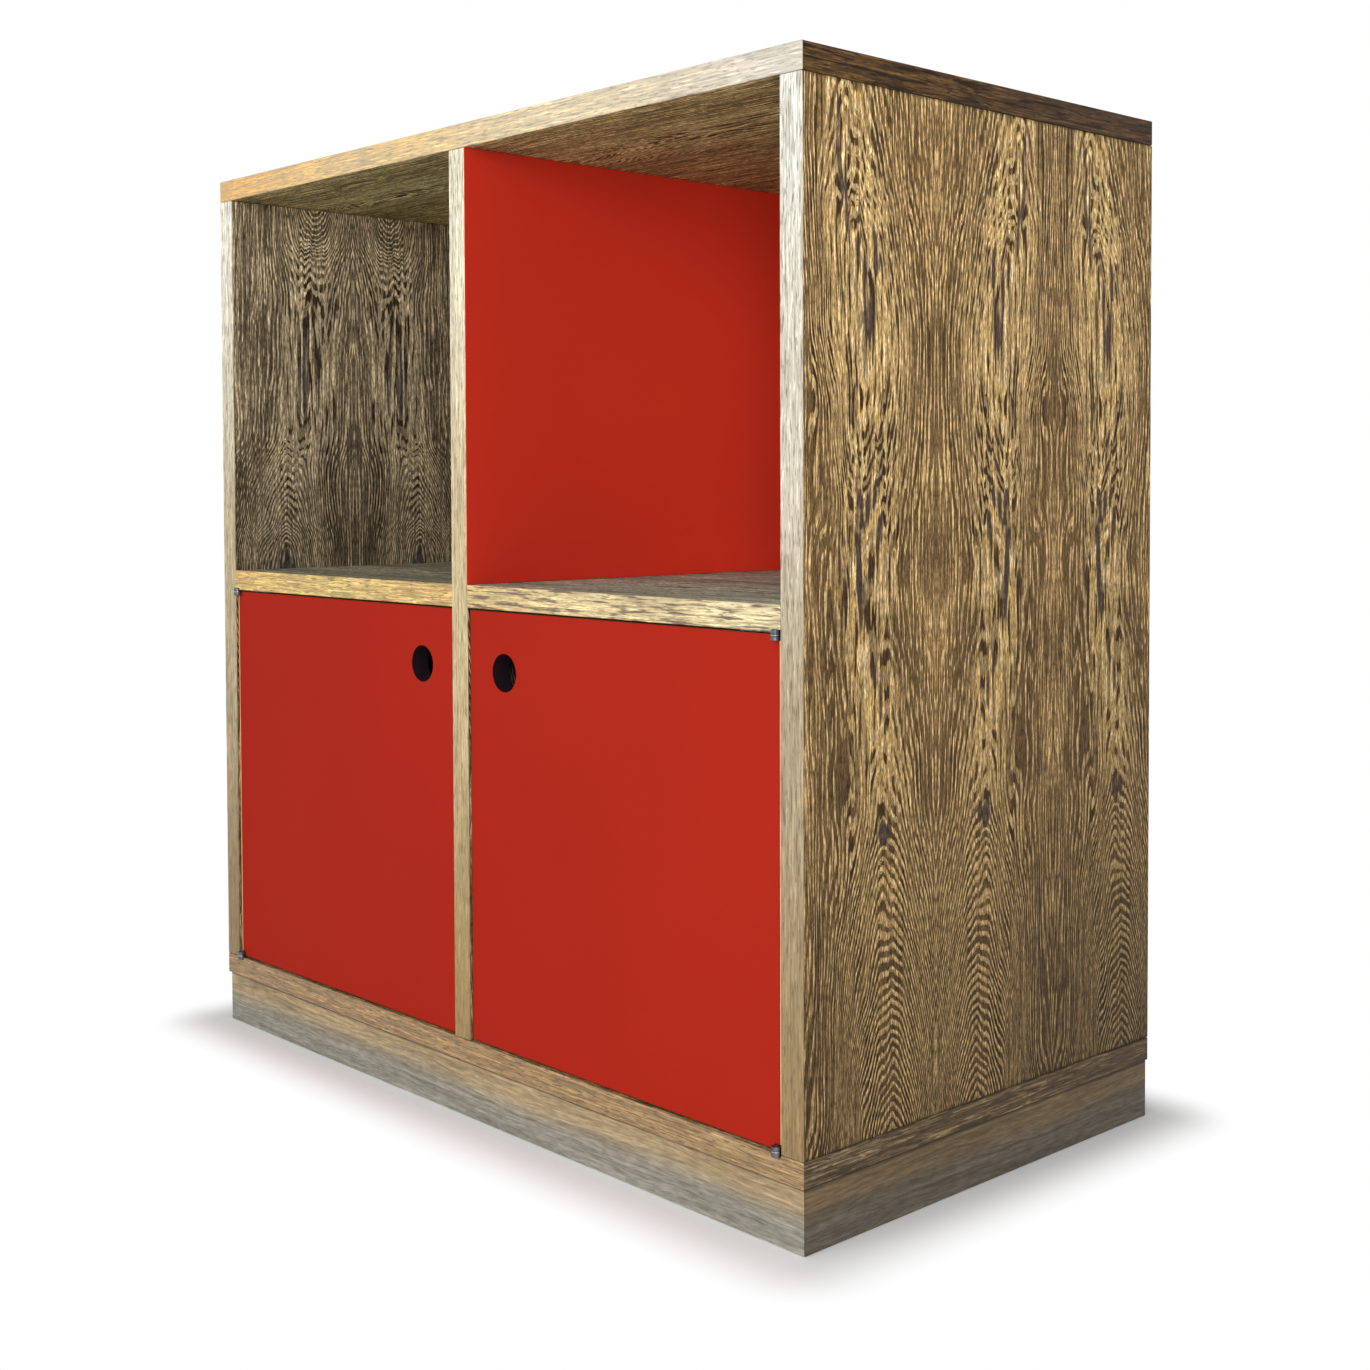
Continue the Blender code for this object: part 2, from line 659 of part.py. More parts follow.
def catch(name, hand, board):
    # plastic housing with screw ears, and a magnet between two steel poles in its pocket
    x = hand * (DIVIDER_FACE + CATCH_FROM_DIVIDER)
    top = SHELF_UNDER - GAP
    half = CATCH_WIDTH / 2
    reach = half + EAR_WIDTH
    outline = [
        (-reach, top),
        (-reach, top - EAR_THICKNESS + EAR_DRAFT),
        (-half, top - EAR_THICKNESS),
        (-half, top - CATCH_HEIGHT),
        (half, top - CATCH_HEIGHT),
        (half, top - EAR_THICKNESS),
        (reach, top - EAR_THICKNESS + EAR_DRAFT),
        (reach, top),
    ]
    stand = Matrix.Translation((x, 0, 0)) @ Matrix.Rotation(math.pi / 2, 4, "X")
    housing = prism(
        name + "_catch_housing", [outline], -CATCH_FRONT - CATCH_DEPTH, -CATCH_FRONT, IVORY, stand
    )
    room = POLE_WIDTH / 2 + GAP
    pocket = box(
        name + "_catch_pocket",
        (x - room, CATCH_FRONT - GAP, CATCH_MIDDLE - POLE_STACK / 2 - GAP),
        (x + room, POLE_FRONT + POLE_DEPTH + GAP, CATCH_MIDDLE + POLE_STACK / 2 + GAP),
    )
    ear_x = half + EAR_WIDTH / 2
    places = [
        facing((x + step, CATCH_FRONT + CATCH_DEPTH / 2, top - EAR_THICKNESS), (0, 0, 1))
        for step in (-ear_x, ear_x)
    ]
    holes = screw_holes(name + "_catch_screw_holes", CATCH_SCREW_LENGTH, SMALL_SCREW, places)
    cut(housing, pocket, holes)
    cut(board, holes)
    # the magnet set back between its poles, as one bonded block
    high = POLE_STACK / 2
    inside = MAGNET_THICKNESS / 2
    rear = POLE_FRONT + POLE_DEPTH
    magnet_face = POLE_FRONT + MAGNET_SETBACK
    section = [
        (POLE_FRONT, high),
        (POLE_FRONT, inside),
        (magnet_face, inside),
        (magnet_face, -inside),
        (POLE_FRONT, -inside),
        (POLE_FRONT, -high),
        (rear, -high),
        (rear, high),
    ]
    upended = Matrix(((0, 0, 1, x), (1, 0, 0, 0), (0, 1, 0, CATCH_MIDDLE), (0, 0, 0, 1)))
    half_pole = POLE_WIDTH / 2
    prism(name + "_catch_magnet", [section], -half_pole, half_pole, FERRITE, upended)


def build():
    boards = carcass()
    back_panel(boards)
    plinth(boards)
    for name, hand in SIDES.items():
        door(name, hand, boards)
        catch(name, hand, boards[name + "_shelf"])


build()
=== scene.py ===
# Credenza in wenge veneer with two red doors: its detail pieces, finishes, light and camera.
# Lengths are metres, and millimetres inside the veneer figures.
import json
import math

import bpy
from mathutils import Matrix, Vector

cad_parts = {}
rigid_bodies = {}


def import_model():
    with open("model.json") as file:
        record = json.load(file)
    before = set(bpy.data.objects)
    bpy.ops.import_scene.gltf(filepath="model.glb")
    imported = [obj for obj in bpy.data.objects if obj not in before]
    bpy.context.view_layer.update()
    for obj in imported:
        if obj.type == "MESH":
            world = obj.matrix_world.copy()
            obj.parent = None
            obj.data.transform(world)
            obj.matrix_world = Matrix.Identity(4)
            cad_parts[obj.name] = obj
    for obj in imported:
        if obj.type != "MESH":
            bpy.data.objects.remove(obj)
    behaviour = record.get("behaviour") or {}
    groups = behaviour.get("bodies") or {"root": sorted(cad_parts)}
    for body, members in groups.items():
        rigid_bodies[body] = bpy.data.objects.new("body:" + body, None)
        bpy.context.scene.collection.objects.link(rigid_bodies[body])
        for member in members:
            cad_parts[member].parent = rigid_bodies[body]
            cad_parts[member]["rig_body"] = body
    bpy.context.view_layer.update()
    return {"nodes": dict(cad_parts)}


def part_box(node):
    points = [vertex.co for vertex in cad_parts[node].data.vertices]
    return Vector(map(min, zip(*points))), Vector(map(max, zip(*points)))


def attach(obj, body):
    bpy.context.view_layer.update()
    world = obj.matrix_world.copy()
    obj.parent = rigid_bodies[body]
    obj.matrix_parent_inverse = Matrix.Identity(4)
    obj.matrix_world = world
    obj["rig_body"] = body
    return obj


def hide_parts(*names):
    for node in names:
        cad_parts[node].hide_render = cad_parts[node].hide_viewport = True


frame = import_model()
nodes = frame["nodes"]
print("frame loaded,", len(nodes), "nodes")

# faces and heights that the pieces are made to
topLow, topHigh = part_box("top_board")
front = topLow.y
back = topHigh.y
half = topHigh.x
top = topHigh.z
ceiling = topLow.z
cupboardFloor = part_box("bottom_board")[1].z


# selecting and shaping


def deselectAll():
    if bpy.context.object and bpy.context.object.mode != "OBJECT":
        bpy.ops.object.mode_set(mode="OBJECT")
    bpy.ops.object.select_all(action="DESELECT")


def pick(piece):
    deselectAll()
    piece.select_set(True)
    bpy.context.view_layer.objects.active = piece


def editAll(piece):
    pick(piece)
    bpy.ops.object.mode_set(mode="EDIT")
    bpy.ops.mesh.select_mode(type="FACE")
    bpy.ops.mesh.select_all(action="SELECT")


def backToObject():
    bpy.ops.object.mode_set(mode="OBJECT")


def settle(piece):
    # puts a piece's place into its mesh
    pick(piece)
    bpy.ops.object.transform_apply(location=True, rotation=True, scale=True)
    return piece


def applyModifiers(piece):
    pick(piece)
    for modifier in list(piece.modifiers):
        bpy.ops.object.modifier_apply(modifier=modifier.name)


def link(name, data):
    piece = bpy.data.objects.new(name, data)
    bpy.context.scene.collection.objects.link(piece)
    return piece


def addBlock(name, low, high):
    low, high = Vector(low), Vector(high)
    deselectAll()
    bpy.ops.mesh.primitive_cube_add(size=1, location=(low + high) / 2)
    block = bpy.context.object
    block.name = name
    block.scale = high - low
    return settle(block)


def turnTo(start, end):
    return Vector(start).rotation_difference(Vector(end)).to_matrix().to_4x4()


def addRod(name, centre, radius, depth, direction, sides):
    deselectAll()
    bpy.ops.mesh.primitive_cylinder_add(vertices=sides, radius=radius, depth=depth)
    rod = bpy.context.object
    rod.name = name
    rod.matrix_world = Matrix.Translation(centre) @ turnTo((0, 0, 1), direction)
    return settle(rod)


def copyNode(node, name):
    # a CAD node's shape as one closed mesh of large faces, to be worked on
    piece = link(name, nodes[node].data.copy())
    editAll(piece)
    bpy.ops.mesh.customdata_custom_splitnormals_clear()
    bpy.ops.mesh.remove_doubles(threshold=0.000002)
    bpy.ops.mesh.dissolve_limited(angle_limit=math.radians(0.5))
    backToObject()
    return piece


def cutBack(piece, *cuts):
    # each cut is an axis, a place on it, and the side that stays: -1 below, 1 above
    for axis, place, side in cuts:
        point = [0, 0, 0]
        normal = [0, 0, 0]
        point["xyz".index(axis)] = place
        normal["xyz".index(axis)] = 1
        editAll(piece)
        bpy.ops.mesh.bisect(
            plane_co=point,
            plane_no=normal,
            use_fill=True,
            clear_inner=side > 0,
            clear_outer=side < 0,
        )
        backToObject()
    return piece


def carve(piece, *cutters):
    for cutter in cutters:
        boolean = piece.modifiers.new("carve", "BOOLEAN")
        boolean.operation = "DIFFERENCE"
        boolean.solver = "EXACT"
        boolean.object = cutter
    applyModifiers(piece)
    for cutter in cutters:
        bpy.data.objects.remove(cutter, do_unlink=True)


def roundArrises(piece, width, segments=2, angle=30):
    bevel = piece.modifiers.new("arris", "BEVEL")
    bevel.width = width
    bevel.segments = segments
    bevel.limit_method = "ANGLE"
    bevel.angle_limit = math.radians(angle)
    applyModifiers(piece)
    pick(piece)
    bpy.ops.object.shade_smooth_by_angle(angle=math.radians(angle))
    weights = piece.modifiers.new("flat faces stay flat", "WEIGHTED_NORMAL")
    weights.keep_sharp = True
    applyModifiers(piece)


def dress(piece, materials, choose=None):
    # choose gives a face's number in the list of materials from its middle and normal
    piece.data.materials.clear()
    for material in materials:
        piece.data.materials.append(material)
    for face in piece.data.polygons:
        face.material_index = choose(face.center, face.normal) if choose else 0


def file(piece, body, slot, *replaced):
    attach(piece, body)
    if replaced:
        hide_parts(*replaced)


def bodyOf(node):
    return nodes[node]["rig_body"]


def middleOf(node):
    low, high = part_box(node)
    return (low + high) / 2


# shader nodes


drawing = {"tree": None}  # the node tree that nodes are added to


def addNode(kind, **settings):
    node = drawing["tree"].nodes.new("ShaderNode" + kind)
    for key, value in settings.items():
        setattr(node, key, value)
    return node


def feed(socket, value):
    if isinstance(value, bpy.types.NodeSocket):
        drawing["tree"].links.new(value, socket)
    elif hasattr(value, "__len__"):
        socket.default_value = value[: len(socket.default_value)]
    elif value is not None:
        socket.default_value = value


def calc(operation, *values, clamp=False):
    node = addNode("Math", operation=operation, use_clamp=clamp)
    for socket, value in zip(node.inputs, values):
        feed(socket, value)
    return node.outputs[0]


def times(first, second, clamp=False):
    return calc("MULTIPLY", first, second, clamp=clamp)


def plus(first, second):
    return calc("ADD", first, second)


def minus(first, second):
    return calc("SUBTRACT", first, second)


def slope(value, factor, base, clamp=False):
    return calc("MULTIPLY_ADD", value, factor, base, clamp=clamp)


def waves(value, length):
    # from 0 to 1 and back over each length
    turn = times(value, 2 * math.pi / length)
    return slope(calc("SINE", turn), 0.5, 0.5)


def noise(x, y, seed, detail=2.0, rough=0.5, z=None):
    # x, y and z are pairs of a value and its scale
    vector = addNode("CombineXYZ")
    for socket, pair in zip(vector.inputs, (x, y, z)):
        if pair:
            feed(socket, times(*pair))
    node = addNode("TexNoise", noise_dimensions="4D")
    feed(node.inputs["Vector"], vector.outputs[0])
    feed(node.inputs["W"], seed)
    node.inputs["Scale"].default_value = 1.0
    node.inputs["Detail"].default_value = detail
    node.inputs["Roughness"].default_value = rough
    return node.outputs["Fac"]


def cloud(scale, detail=2.0):
    # noise over the object's own coordinates
    node = addNode("TexNoise")
    node.inputs["Scale"].default_value = scale
    node.inputs["Detail"].default_value = detail
    feed(node.inputs["Vector"], addNode("TexCoord").outputs["Object"])
    return node.outputs["Fac"]


def ramp(value, low, high, outLow=0.0, outHigh=1.0, smooth=True):
    kind = "SMOOTHSTEP" if smooth else "LINEAR"
    node = addNode("MapRange", interpolation_type=kind)
    for socket, number in zip(node.inputs, (value, low, high, outLow, outHigh)):
        feed(socket, number)
    return node.outputs["Result"]


def profile(value, points):
    # a value that follows a drawn line over 0 to 1
    node = addNode("FloatCurve")
    line = node.mapping.curves[0]
    line.points[0].location = points[0]
    line.points[1].location = points[-1]
    for x, y in points[1:-1]:
        line.points.new(x, y)
    node.mapping.update()
    feed(node.inputs["Value"], value)
    return node.outputs[0]


def mixColors(factor, first, second):
    # the colours of a Mix node are its sockets 6, 7 and 2
    node = addNode("Mix", data_type="RGBA")
    feed(node.inputs["Factor"], factor)
    feed(node.inputs[6], first)
    feed(node.inputs[7], second)
    return node.outputs[2]


def brighten(color, factor):
    node = addNode("VectorMath", operation="SCALE")
    feed(node.inputs[0], color)
    feed(node.inputs[3], factor)
    return node.outputs[0]


def bell(value, width):
    return calc("EXPONENT", times(times(value, value), -1 / width**2))


def srgb(red, green, blue):
    def linear(part):
        part /= 255
        return part / 12.92 if part <= 0.04045 else ((part + 0.055) / 1.055) ** 2.4

    return (linear(red), linear(green), linear(blue), 1.0)


def shaderOf(material):
    return material.node_tree.nodes["Principled BSDF"]


def newMaterial(name, roughness, specular=0.5, metallic=0.0):
    material = bpy.data.materials.new(name)
    material.use_nodes = True
    drawing["tree"] = material.node_tree
    inputs = shaderOf(material).inputs
    inputs["Roughness"].default_value = roughness
    inputs["Specular IOR Level"].default_value = specular
    inputs["Metallic"].default_value = metallic
    return material


def coat(material, color, height, strength, distance):
    # colour and bump of a finish
    inputs = shaderOf(material).inputs
    feed(inputs["Base Color"], color)
    bump = addNode("Bump")
    bump.inputs["Strength"].default_value = strength
    bump.inputs["Distance"].default_value = distance
    feed(bump.inputs["Height"], height)
    feed(inputs["Normal"], bump.outputs["Normal"])
    return material


def millimetres(origin=(0, 0, 0)):
    # object coordinates from a point, in millimetres
    place = addNode("TexCoord").outputs["Object"]
    shift = addNode("VectorMath", operation="SUBTRACT")
    feed(shift.inputs[0], place)
    shift.inputs[1].default_value = origin
    split = addNode("SeparateXYZ")
    feed(split.inputs[0], brighten(shift.outputs[0], 1000.0))
    return split.outputs


def bySide(origin=(0, 0, 0)):
    # the same, to be looked up by the letter of an axis
    return dict(zip("xyz", millimetres(origin)))


# wenge figure: book-matched leaves, each with one column where the rings lie flat to the
# face. The lists run along a leaf: depth says how deep the rings lie, centre where the
# column is, and a knot is its distance from the centre, its place, width and height.
sideVeneer = {
    "leaf": 137.0,
    "joint": 135.0,
    "length": 708.0,
    "ring": 4.6,
    "relief": 160.0,
    "seed": 0.0,
    "centre": [(0, 0.69), (0.085, 0.62), (0.24, 0.53), (0.39, 0.53), (0.47, 0.56), (0.6, 0.44),
               (0.7, 0.4), (0.85, 0.365), (1, 0.34)],
    "depth": [(0, 0.97), (0.05, 0.93), (0.092, 0.88), (0.12, 0.82), (0.17, 0.76), (0.24, 0.73),
              (0.31, 0.78), (0.36, 0.87), (0.4, 0.955), (0.43, 0.985), (0.48, 1), (0.55, 0.985),
              (0.61, 0.95), (0.68, 0.87), (0.75, 0.74), (0.85, 0.49), (0.93, 0.27), (1, 0.08)],
    "slide": [(0, 0.1), (0.1, 0.12), (0.2, 0.22), (0.36, 0.16), (0.5, 0.24), (0.62, 0.16),
              (0.75, 0.06), (1, 0.02)],
    "flame": [(0, 0.2), (0.08, 0.5), (0.2, 0.7), (0.4, 0.7), (0.52, 0.75), (0.62, 0.6),
              (0.72, 0.2), (1, 0)],
    "plain": 0.65,
    # painted shade: darkens the side towards its low rear corner
    "shade": 0.22,
    "width": [(0, 0.6), (0.12, 0.72), (0.24, 0.78), (0.32, 0.68), (0.42, 0.5), (0.52, 0.44),
              (0.64, 0.5), (0.78, 0.8), (0.9, 1.0), (1, 1.1)],
    "plum": [(0, 1), (0.3, 1), (0.5, 1), (0.56, 0.6), (0.65, 0.1), (1, 0)],
    "knots": [(10, 55, 3.6, 45), (-3, 140, 4, 32), (-15, 118, 2.4, 26), (0, 280, 10, 10),
              (4, 335, 3.6, 36), (-13, 300, 3, 13), (-2, 412, 3.4, 20), (1, 500, 7, 8)],
    # painted light and shade along the side: brighter at the top, darker towards the bottom, and
    # painted shadow lines at both ends, under the top board and over the bottom board
    "gradient": [(0, 0.45), (0.006, 1.32), (0.3, 1.2), (0.6, 1.04), (0.85, 0.77), (0.993, 0.64),
             (1, 0.25)],
    "tone": [(0, 0.1), (0.2, 0.1), (0.45, 0.1), (0.75, 0.0), (1, -0.2)],
    "gold": srgb(250, 210, 136),
    "brown": srgb(204, 166, 108),
    "dark": srgb(42, 22, 9),
    "plumColor": srgb(70, 56, 50),
    "pale": srgb(255, 236, 198),
}

# what all figures share, in millimetres: the longest slide of one fibre past the next, the
# width of a column of width 1, and the reach and height of the rise on its flanks
ringShape = {
    "slide": 200.0,
    "column": 160.0,
    "reach": 92.0,
    "rise": 62.0,
    "hold": [(0, 1), (0.05, 0.96), (0.12, 0.86), (0.2, 0.7), (0.3, 0.46), (0.4, 0.26),
             (0.5, 0.12), (0.7, 0.02), (1, 0)],
    "spread": [(0, 0), (0.1, 0.006), (0.17, 0.03), (0.25, 0.09), (0.4, 0.25), (0.7, 0.62),
               (1, 1)],
}


def drawFigure(across, along, look):
    # which leaf, and how far from its joint
    fromJoint = minus(across, look["joint"])
    leafPlace = calc("PINGPONG", fromJoint, look["leaf"])
    leafNumber = calc("FLOOR", times(fromJoint, 1 / look["leaf"]))
    seed = slope(leafNumber, 0.06, look["seed"])

    def grainNoise(wide, tall, offset, detail=2.0, rough=0.55, run=along):
        spot = plus(seed, offset)
        return noise((leafPlace, 1 / wide), (run, 1 / tall), spot, detail, rough)

    def swing(value, amount, base):
        # base moved by a noise around its middle
        return slope(minus(value, 0.5), amount, base)

    # fibres slide along each other, which frays the rings
    share = times(along, 1 / look["length"])
    slide = times(profile(share, look["slide"]), ringShape["slide"])
    run = swing(grainNoise(6.5, 420.0, 7.0, detail=1.0), slide, along)
    run = swing(grainNoise(2.6, 120.0, 9.0, detail=1.5), times(slide, 0.25), run)
    runShare = times(run, 1 / look["length"])

    # ring field: the depth under the column, and its rise on both flanks
    wander = grainNoise(32.0, 130.0, 0.0, detail=1.0)
    place = swing(wander, 20.0, leafPlace)
    centre = times(profile(share, look["centre"]), look["leaf"])
    off = minus(place, centre)
    away = calc("ABSOLUTE", off)
    width = times(profile(share, look["width"]), ringShape["column"])
    part = calc("DIVIDE", away, width)
    depth = minus(profile(runShare, look["depth"]), 1.0)
    depth = times(depth, look["relief"])
    rise = profile(times(away, 1 / ringShape["reach"]), ringShape["spread"])
    rise = times(rise, ringShape["rise"])
    held = profile(part, ringShape["hold"])
    field = slope(depth, held, rise)
    rings = times(field, 1 / look["ring"])
    rings = swing(wander, 5.0, rings)
    rings = swing(grainNoise(7.0, 230.0, 3.0, detail=1.5), times(slide, 0.05), rings)
    rings = swing(grainNoise(20.0, 60.0, 5.0, detail=1.5), 2.4, rings)
    rings = swing(grainNoise(1.6, 40.0, 4.0, detail=1.5), 0.35, rings)

    # dark lines, of uneven width and strength, which fade out far from the column
    near = ramp(part, 0.1, 0.55, 1.0, 0.0)
    flank = ramp(part, 0.4, 0.95, 1.0, look["plain"])
    wave = waves(rings, 1.0)
    uneven = noise((rings, 0.33), (along, 1 / 160), seed, 1.5, 0.7)
    level = ramp(uneven, 0.38, 0.62, 0.86, 0.34, smooth=False)
    level = swing(grainNoise(1.5, 45.0, 51.0), 0.6, level)
    level = minus(level, ramp(part, 0.65, 1.0, 0.14, 0.0))
    lines = ramp(wave, minus(level, 0.12), plus(level, 0.12))
    patch = grainNoise(12.0, 120.0, 11.0)
    strength = times(flank, ramp(patch, 0.35, 0.7, 0.82, 1.0))
    lines = times(lines, strength, clamp=True)

    # ragged flames take the place of the lines in the column
    spot = plus(seed, 13.0)
    ragged = noise((leafPlace, 1 / 4.2), (run, 1 / 60), spot, 1.6, 0.55, (field, 1 / 9))
    flames = ramp(ragged, 0.475, 0.53)
    flaming = times(near, profile(runShare, look["flame"]), clamp=True)
    lines = slope(minus(flames, lines), flaming, lines)

    # narrow lines between them, and the pores
    between = ramp(waves(rings, 0.5), 0.6, 0.9)
    broken = ramp(grainNoise(2.6, 90.0, 15.0), 0.42, 0.62, 0.05, 0.8)
    between = times(between, broken)
    pores = ramp(grainNoise(1.7, 70.0, 41.0, rough=0.7), 0.45, 0.55)
    pores = times(pores, slope(near, -0.35, 0.85), clamp=True)
    dark = calc("MAXIMUM", calc("MAXIMUM", lines, between), pores)

    # plum streaks in the column, and the dark knots where rings close
    streak = grainNoise(6.0, 95.0, 21.0, detail=3.0, rough=0.65, run=run)
    plum = times(ramp(streak, 0.56, 0.64), bell(off, 19.0))
    plum = times(plum, profile(runShare, look["plum"]), clamp=True)
    for aside, down, wide, tall in look["knots"]:
        knot = bell(minus(off, aside), wide)
        knot = times(knot, bell(minus(run, down), tall))
        knot = times(knot, ramp(ragged, 0.36, 0.58, 0.1, 1.5, smooth=False))
        plum = calc("MAXIMUM", plum, ramp(knot, 0.2, 0.55))

    # ground between the lines
    tone = profile(times(leafPlace, 1 / look["leaf"]), look["tone"])
    golden = plus(ramp(patch, 0.3, 0.7, -0.2, 0.2), tone)
    vary = slope(near, 0.7, 0.6)
    golden = swing(grainNoise(3.2, 45.0, 61.0, rough=0.6, run=run), vary, golden)
    gain = ramp(share, 0.5, 0.8, 0.5, 0.2)
    golden = slope(near, gain, golden, clamp=True)
    color = mixColors(golden, look["brown"], look["gold"])
    pale = slope(near, ramp(share, 0.5, 0.8, 0.2, 0.0), 0.15)
    pale = times(ramp(wave, 0.3, 0.04), pale, clamp=True)
    color = mixColors(pale, color, look["pale"])
    color = mixColors(dark, color, look["dark"])
    color = mixColors(times(plum, 0.9), color, look["plumColor"])

    # specks of the fibres, and the look's gradient along the grain less the shade towards the low
    # rear corner: on the side this is painted light and shade, brighter at the top, darker to the
    # bottom and the low rear corner, with painted shadow lines at both ends
    speck = grainNoise(1.4, 6.0, 31.0, rough=0.7)
    speckle = ramp(speck, 0.32, 0.68, 0.3, 1.75, smooth=False)
    dash = ramp(grainNoise(1.3, 24.0, 33.0), 0.35, 0.65, 0.82, 1.16)
    shade = ramp(share, 0.3, 1.0, 0.0, look["shade"])
    shade = times(ramp(across, 120, 400), shade)
    gradient = minus(profile(share, look["gradient"]), shade)
    return brighten(color, times(times(speckle, dash), gradient)), dark


def veneer(name, look, across, along, origin, gloss=0.1):
    # across and along are axes of the object; along runs down when it is z
    material = newMaterial(name, 0.5, specular=gloss)
    spot = bySide(origin)
    spot["z"] = times(spot["z"], -1.0)
    color, dark = drawFigure(spot[across], spot[along], look)
    return coat(material, color, times(dark, -1.0), 0.12, 0.0002)


# inner walls: rounder figure, with painted shade: greyer colours that stand for the niches'
# shade, and darker towards the bottom
wallVeneer = dict(
    sideVeneer,
    joint=132.0,
    seed=2.3,
    relief=110.0,
    ring=3.7,
    centre=[(0, 0.31), (0.1, 0.33), (0.17, 0.38), (0.3, 0.42), (0.36, 0.52), (0.49, 0.56),
            (0.7, 0.45), (1, 0.4)],
    depth=[(0, 0.48), (0.04, 0.66), (0.08, 0.88), (0.12, 0.96), (0.18, 1), (0.28, 0.97),
           (0.34, 0.84), (0.42, 0.6), (0.49, 0.36), (0.6, 0.4), (0.75, 0.8), (1, 0.5)],
    slide=[(0, 0.03), (0.08, 0.1), (0.14, 0.25), (0.25, 0.3), (0.3, 0.12), (0.4, 0.03),
           (1, 0.03)],
    flame=[(0, 0), (0.1, 0.3), (0.16, 0.8), (0.28, 0.8), (0.36, 0.2), (1, 0.1)],
    plain=0.6,
    shade=0.0,
    width=[(0, 0.65), (0.15, 0.55), (0.3, 0.55), (0.5, 0.8), (0.75, 0.55), (1, 0.6)],
    plum=[(0, 0.2), (0.12, 0.6), (0.2, 1), (0.3, 0.9), (0.36, 0.2), (1, 0.1)],
    knots=[(2, 150, 3, 34), (-16, 180, 3, 20), (0, 340, 12, 14)],
    gradient=[(0, 1.24), (0.25, 1.02), (0.5, 0.68), (1, 0.68)],
    tone=[(0, 0.35), (1, 0.25)],
    gold=srgb(240, 216, 172),
    brown=srgb(198, 176, 140),
    dark=srgb(40, 30, 24),
    plumColor=srgb(70, 66, 68),
    pale=srgb(240, 222, 184),
)

# lying boards: one wide leaf with its cathedral a quarter of the way back
flatVeneer = dict(
    sideVeneer,
    leaf=430.0,
    joint=0.0,
    length=750.0,
    seed=4.1,
    relief=100.0,
    ring=2.6,
    centre=[(0, 0.22), (0.4, 0.235), (0.7, 0.23), (1, 0.25)],
    depth=[(0, 0.3), (0.3, 0.72), (0.42, 0.62), (0.5, 0.6), (0.6, 0.78), (0.72, 0.97), (0.8, 1),
           (1, 0.9)],
    slide=[(0, 0.12), (0.5, 0.2), (1, 0.12)],
    flame=[(0, 0.4), (1, 0.4)],
    plain=0.6,
    shade=0.0,
    width=[(0, 0.75), (1, 0.75)],
    plum=[(0, 0.3), (1, 0.3)],
    knots=[(0, 520, 3, 30), (-8, 300, 3, 24)],
    gradient=[(0, 0.92), (1, 0.92)],
    tone=[(0, 0.5), (0.4, 0.4), (1, 0.2)],
    gold=srgb(226, 196, 134),
    brown=srgb(182, 154, 104),
    dark=srgb(58, 40, 22),
)

# shelf tops are paler and greyer, partly their own colour and partly a painted reflection of the
# pale room at a glancing view; the right one and the ceilings are painted brighter, as painted
# light against the niches' shade, and tinted to make up for the red that the divider's skin
# throws on them
shelfVeneer = dict(
    flatVeneer,
    seed=6.6,
    gold=srgb(222, 216, 190),
    brown=srgb(198, 192, 168),
    dark=srgb(78, 72, 56),
)
rightShelfVeneer = dict(
    shelfVeneer,
    gradient=[(0, 1.15), (1, 1.15)],
    gold=srgb(236, 248, 226),
    brown=srgb(216, 228, 206),
    dark=srgb(92, 98, 80),
)
ceilingVeneer = dict(
    flatVeneer,
    gradient=[(0, 1.04), (1, 1.04)],
    gold=srgb(255, 238, 170),
    brown=srgb(230, 200, 136),
    dark=srgb(54, 44, 26),
    pale=srgb(255, 242, 186),
)
lidVeneer = dict(
    flatVeneer,
    seed=5.3,
    leaf=200.0,
    centre=[(0, 0.5), (0.4, 0.55), (1, 0.48)],
)

origin = (-half, front, ceiling)
# both outer sides carry the side look's painted light and shade
sideFace = veneer("wenge side", sideVeneer, "y", "z", origin)
leftFace = veneer("wenge left side", dict(sideVeneer, seed=1.2, joint=128.0), "y", "z", origin)
wallFace = veneer("wenge inner wall", wallVeneer, "y", "z", origin)
flatFace = veneer("wenge lying board", flatVeneer, "y", "x", origin)
shelfFace = veneer("wenge shelf top", shelfVeneer, "y", "x", origin, gloss=0.02)
rightShelfFace = veneer("wenge right shelf top", rightShelfVeneer, "y", "x", origin, gloss=0.02)
ceilingFace = veneer("wenge niche ceiling", ceilingVeneer, "y", "x", origin, gloss=0.02)
lidFace = veneer("wenge top", lidVeneer, "y", "x", origin)
print("veneers drawn")


# straight-grained strips and solid edges: the axis they run along, from where to where, and
# the colours on the way, each after its share of the length and in 0 to 255
alongX = ("x", -half, half)
alongY = ("y", front, back)
alongZ = ("z", cupboardFloor, ceiling)


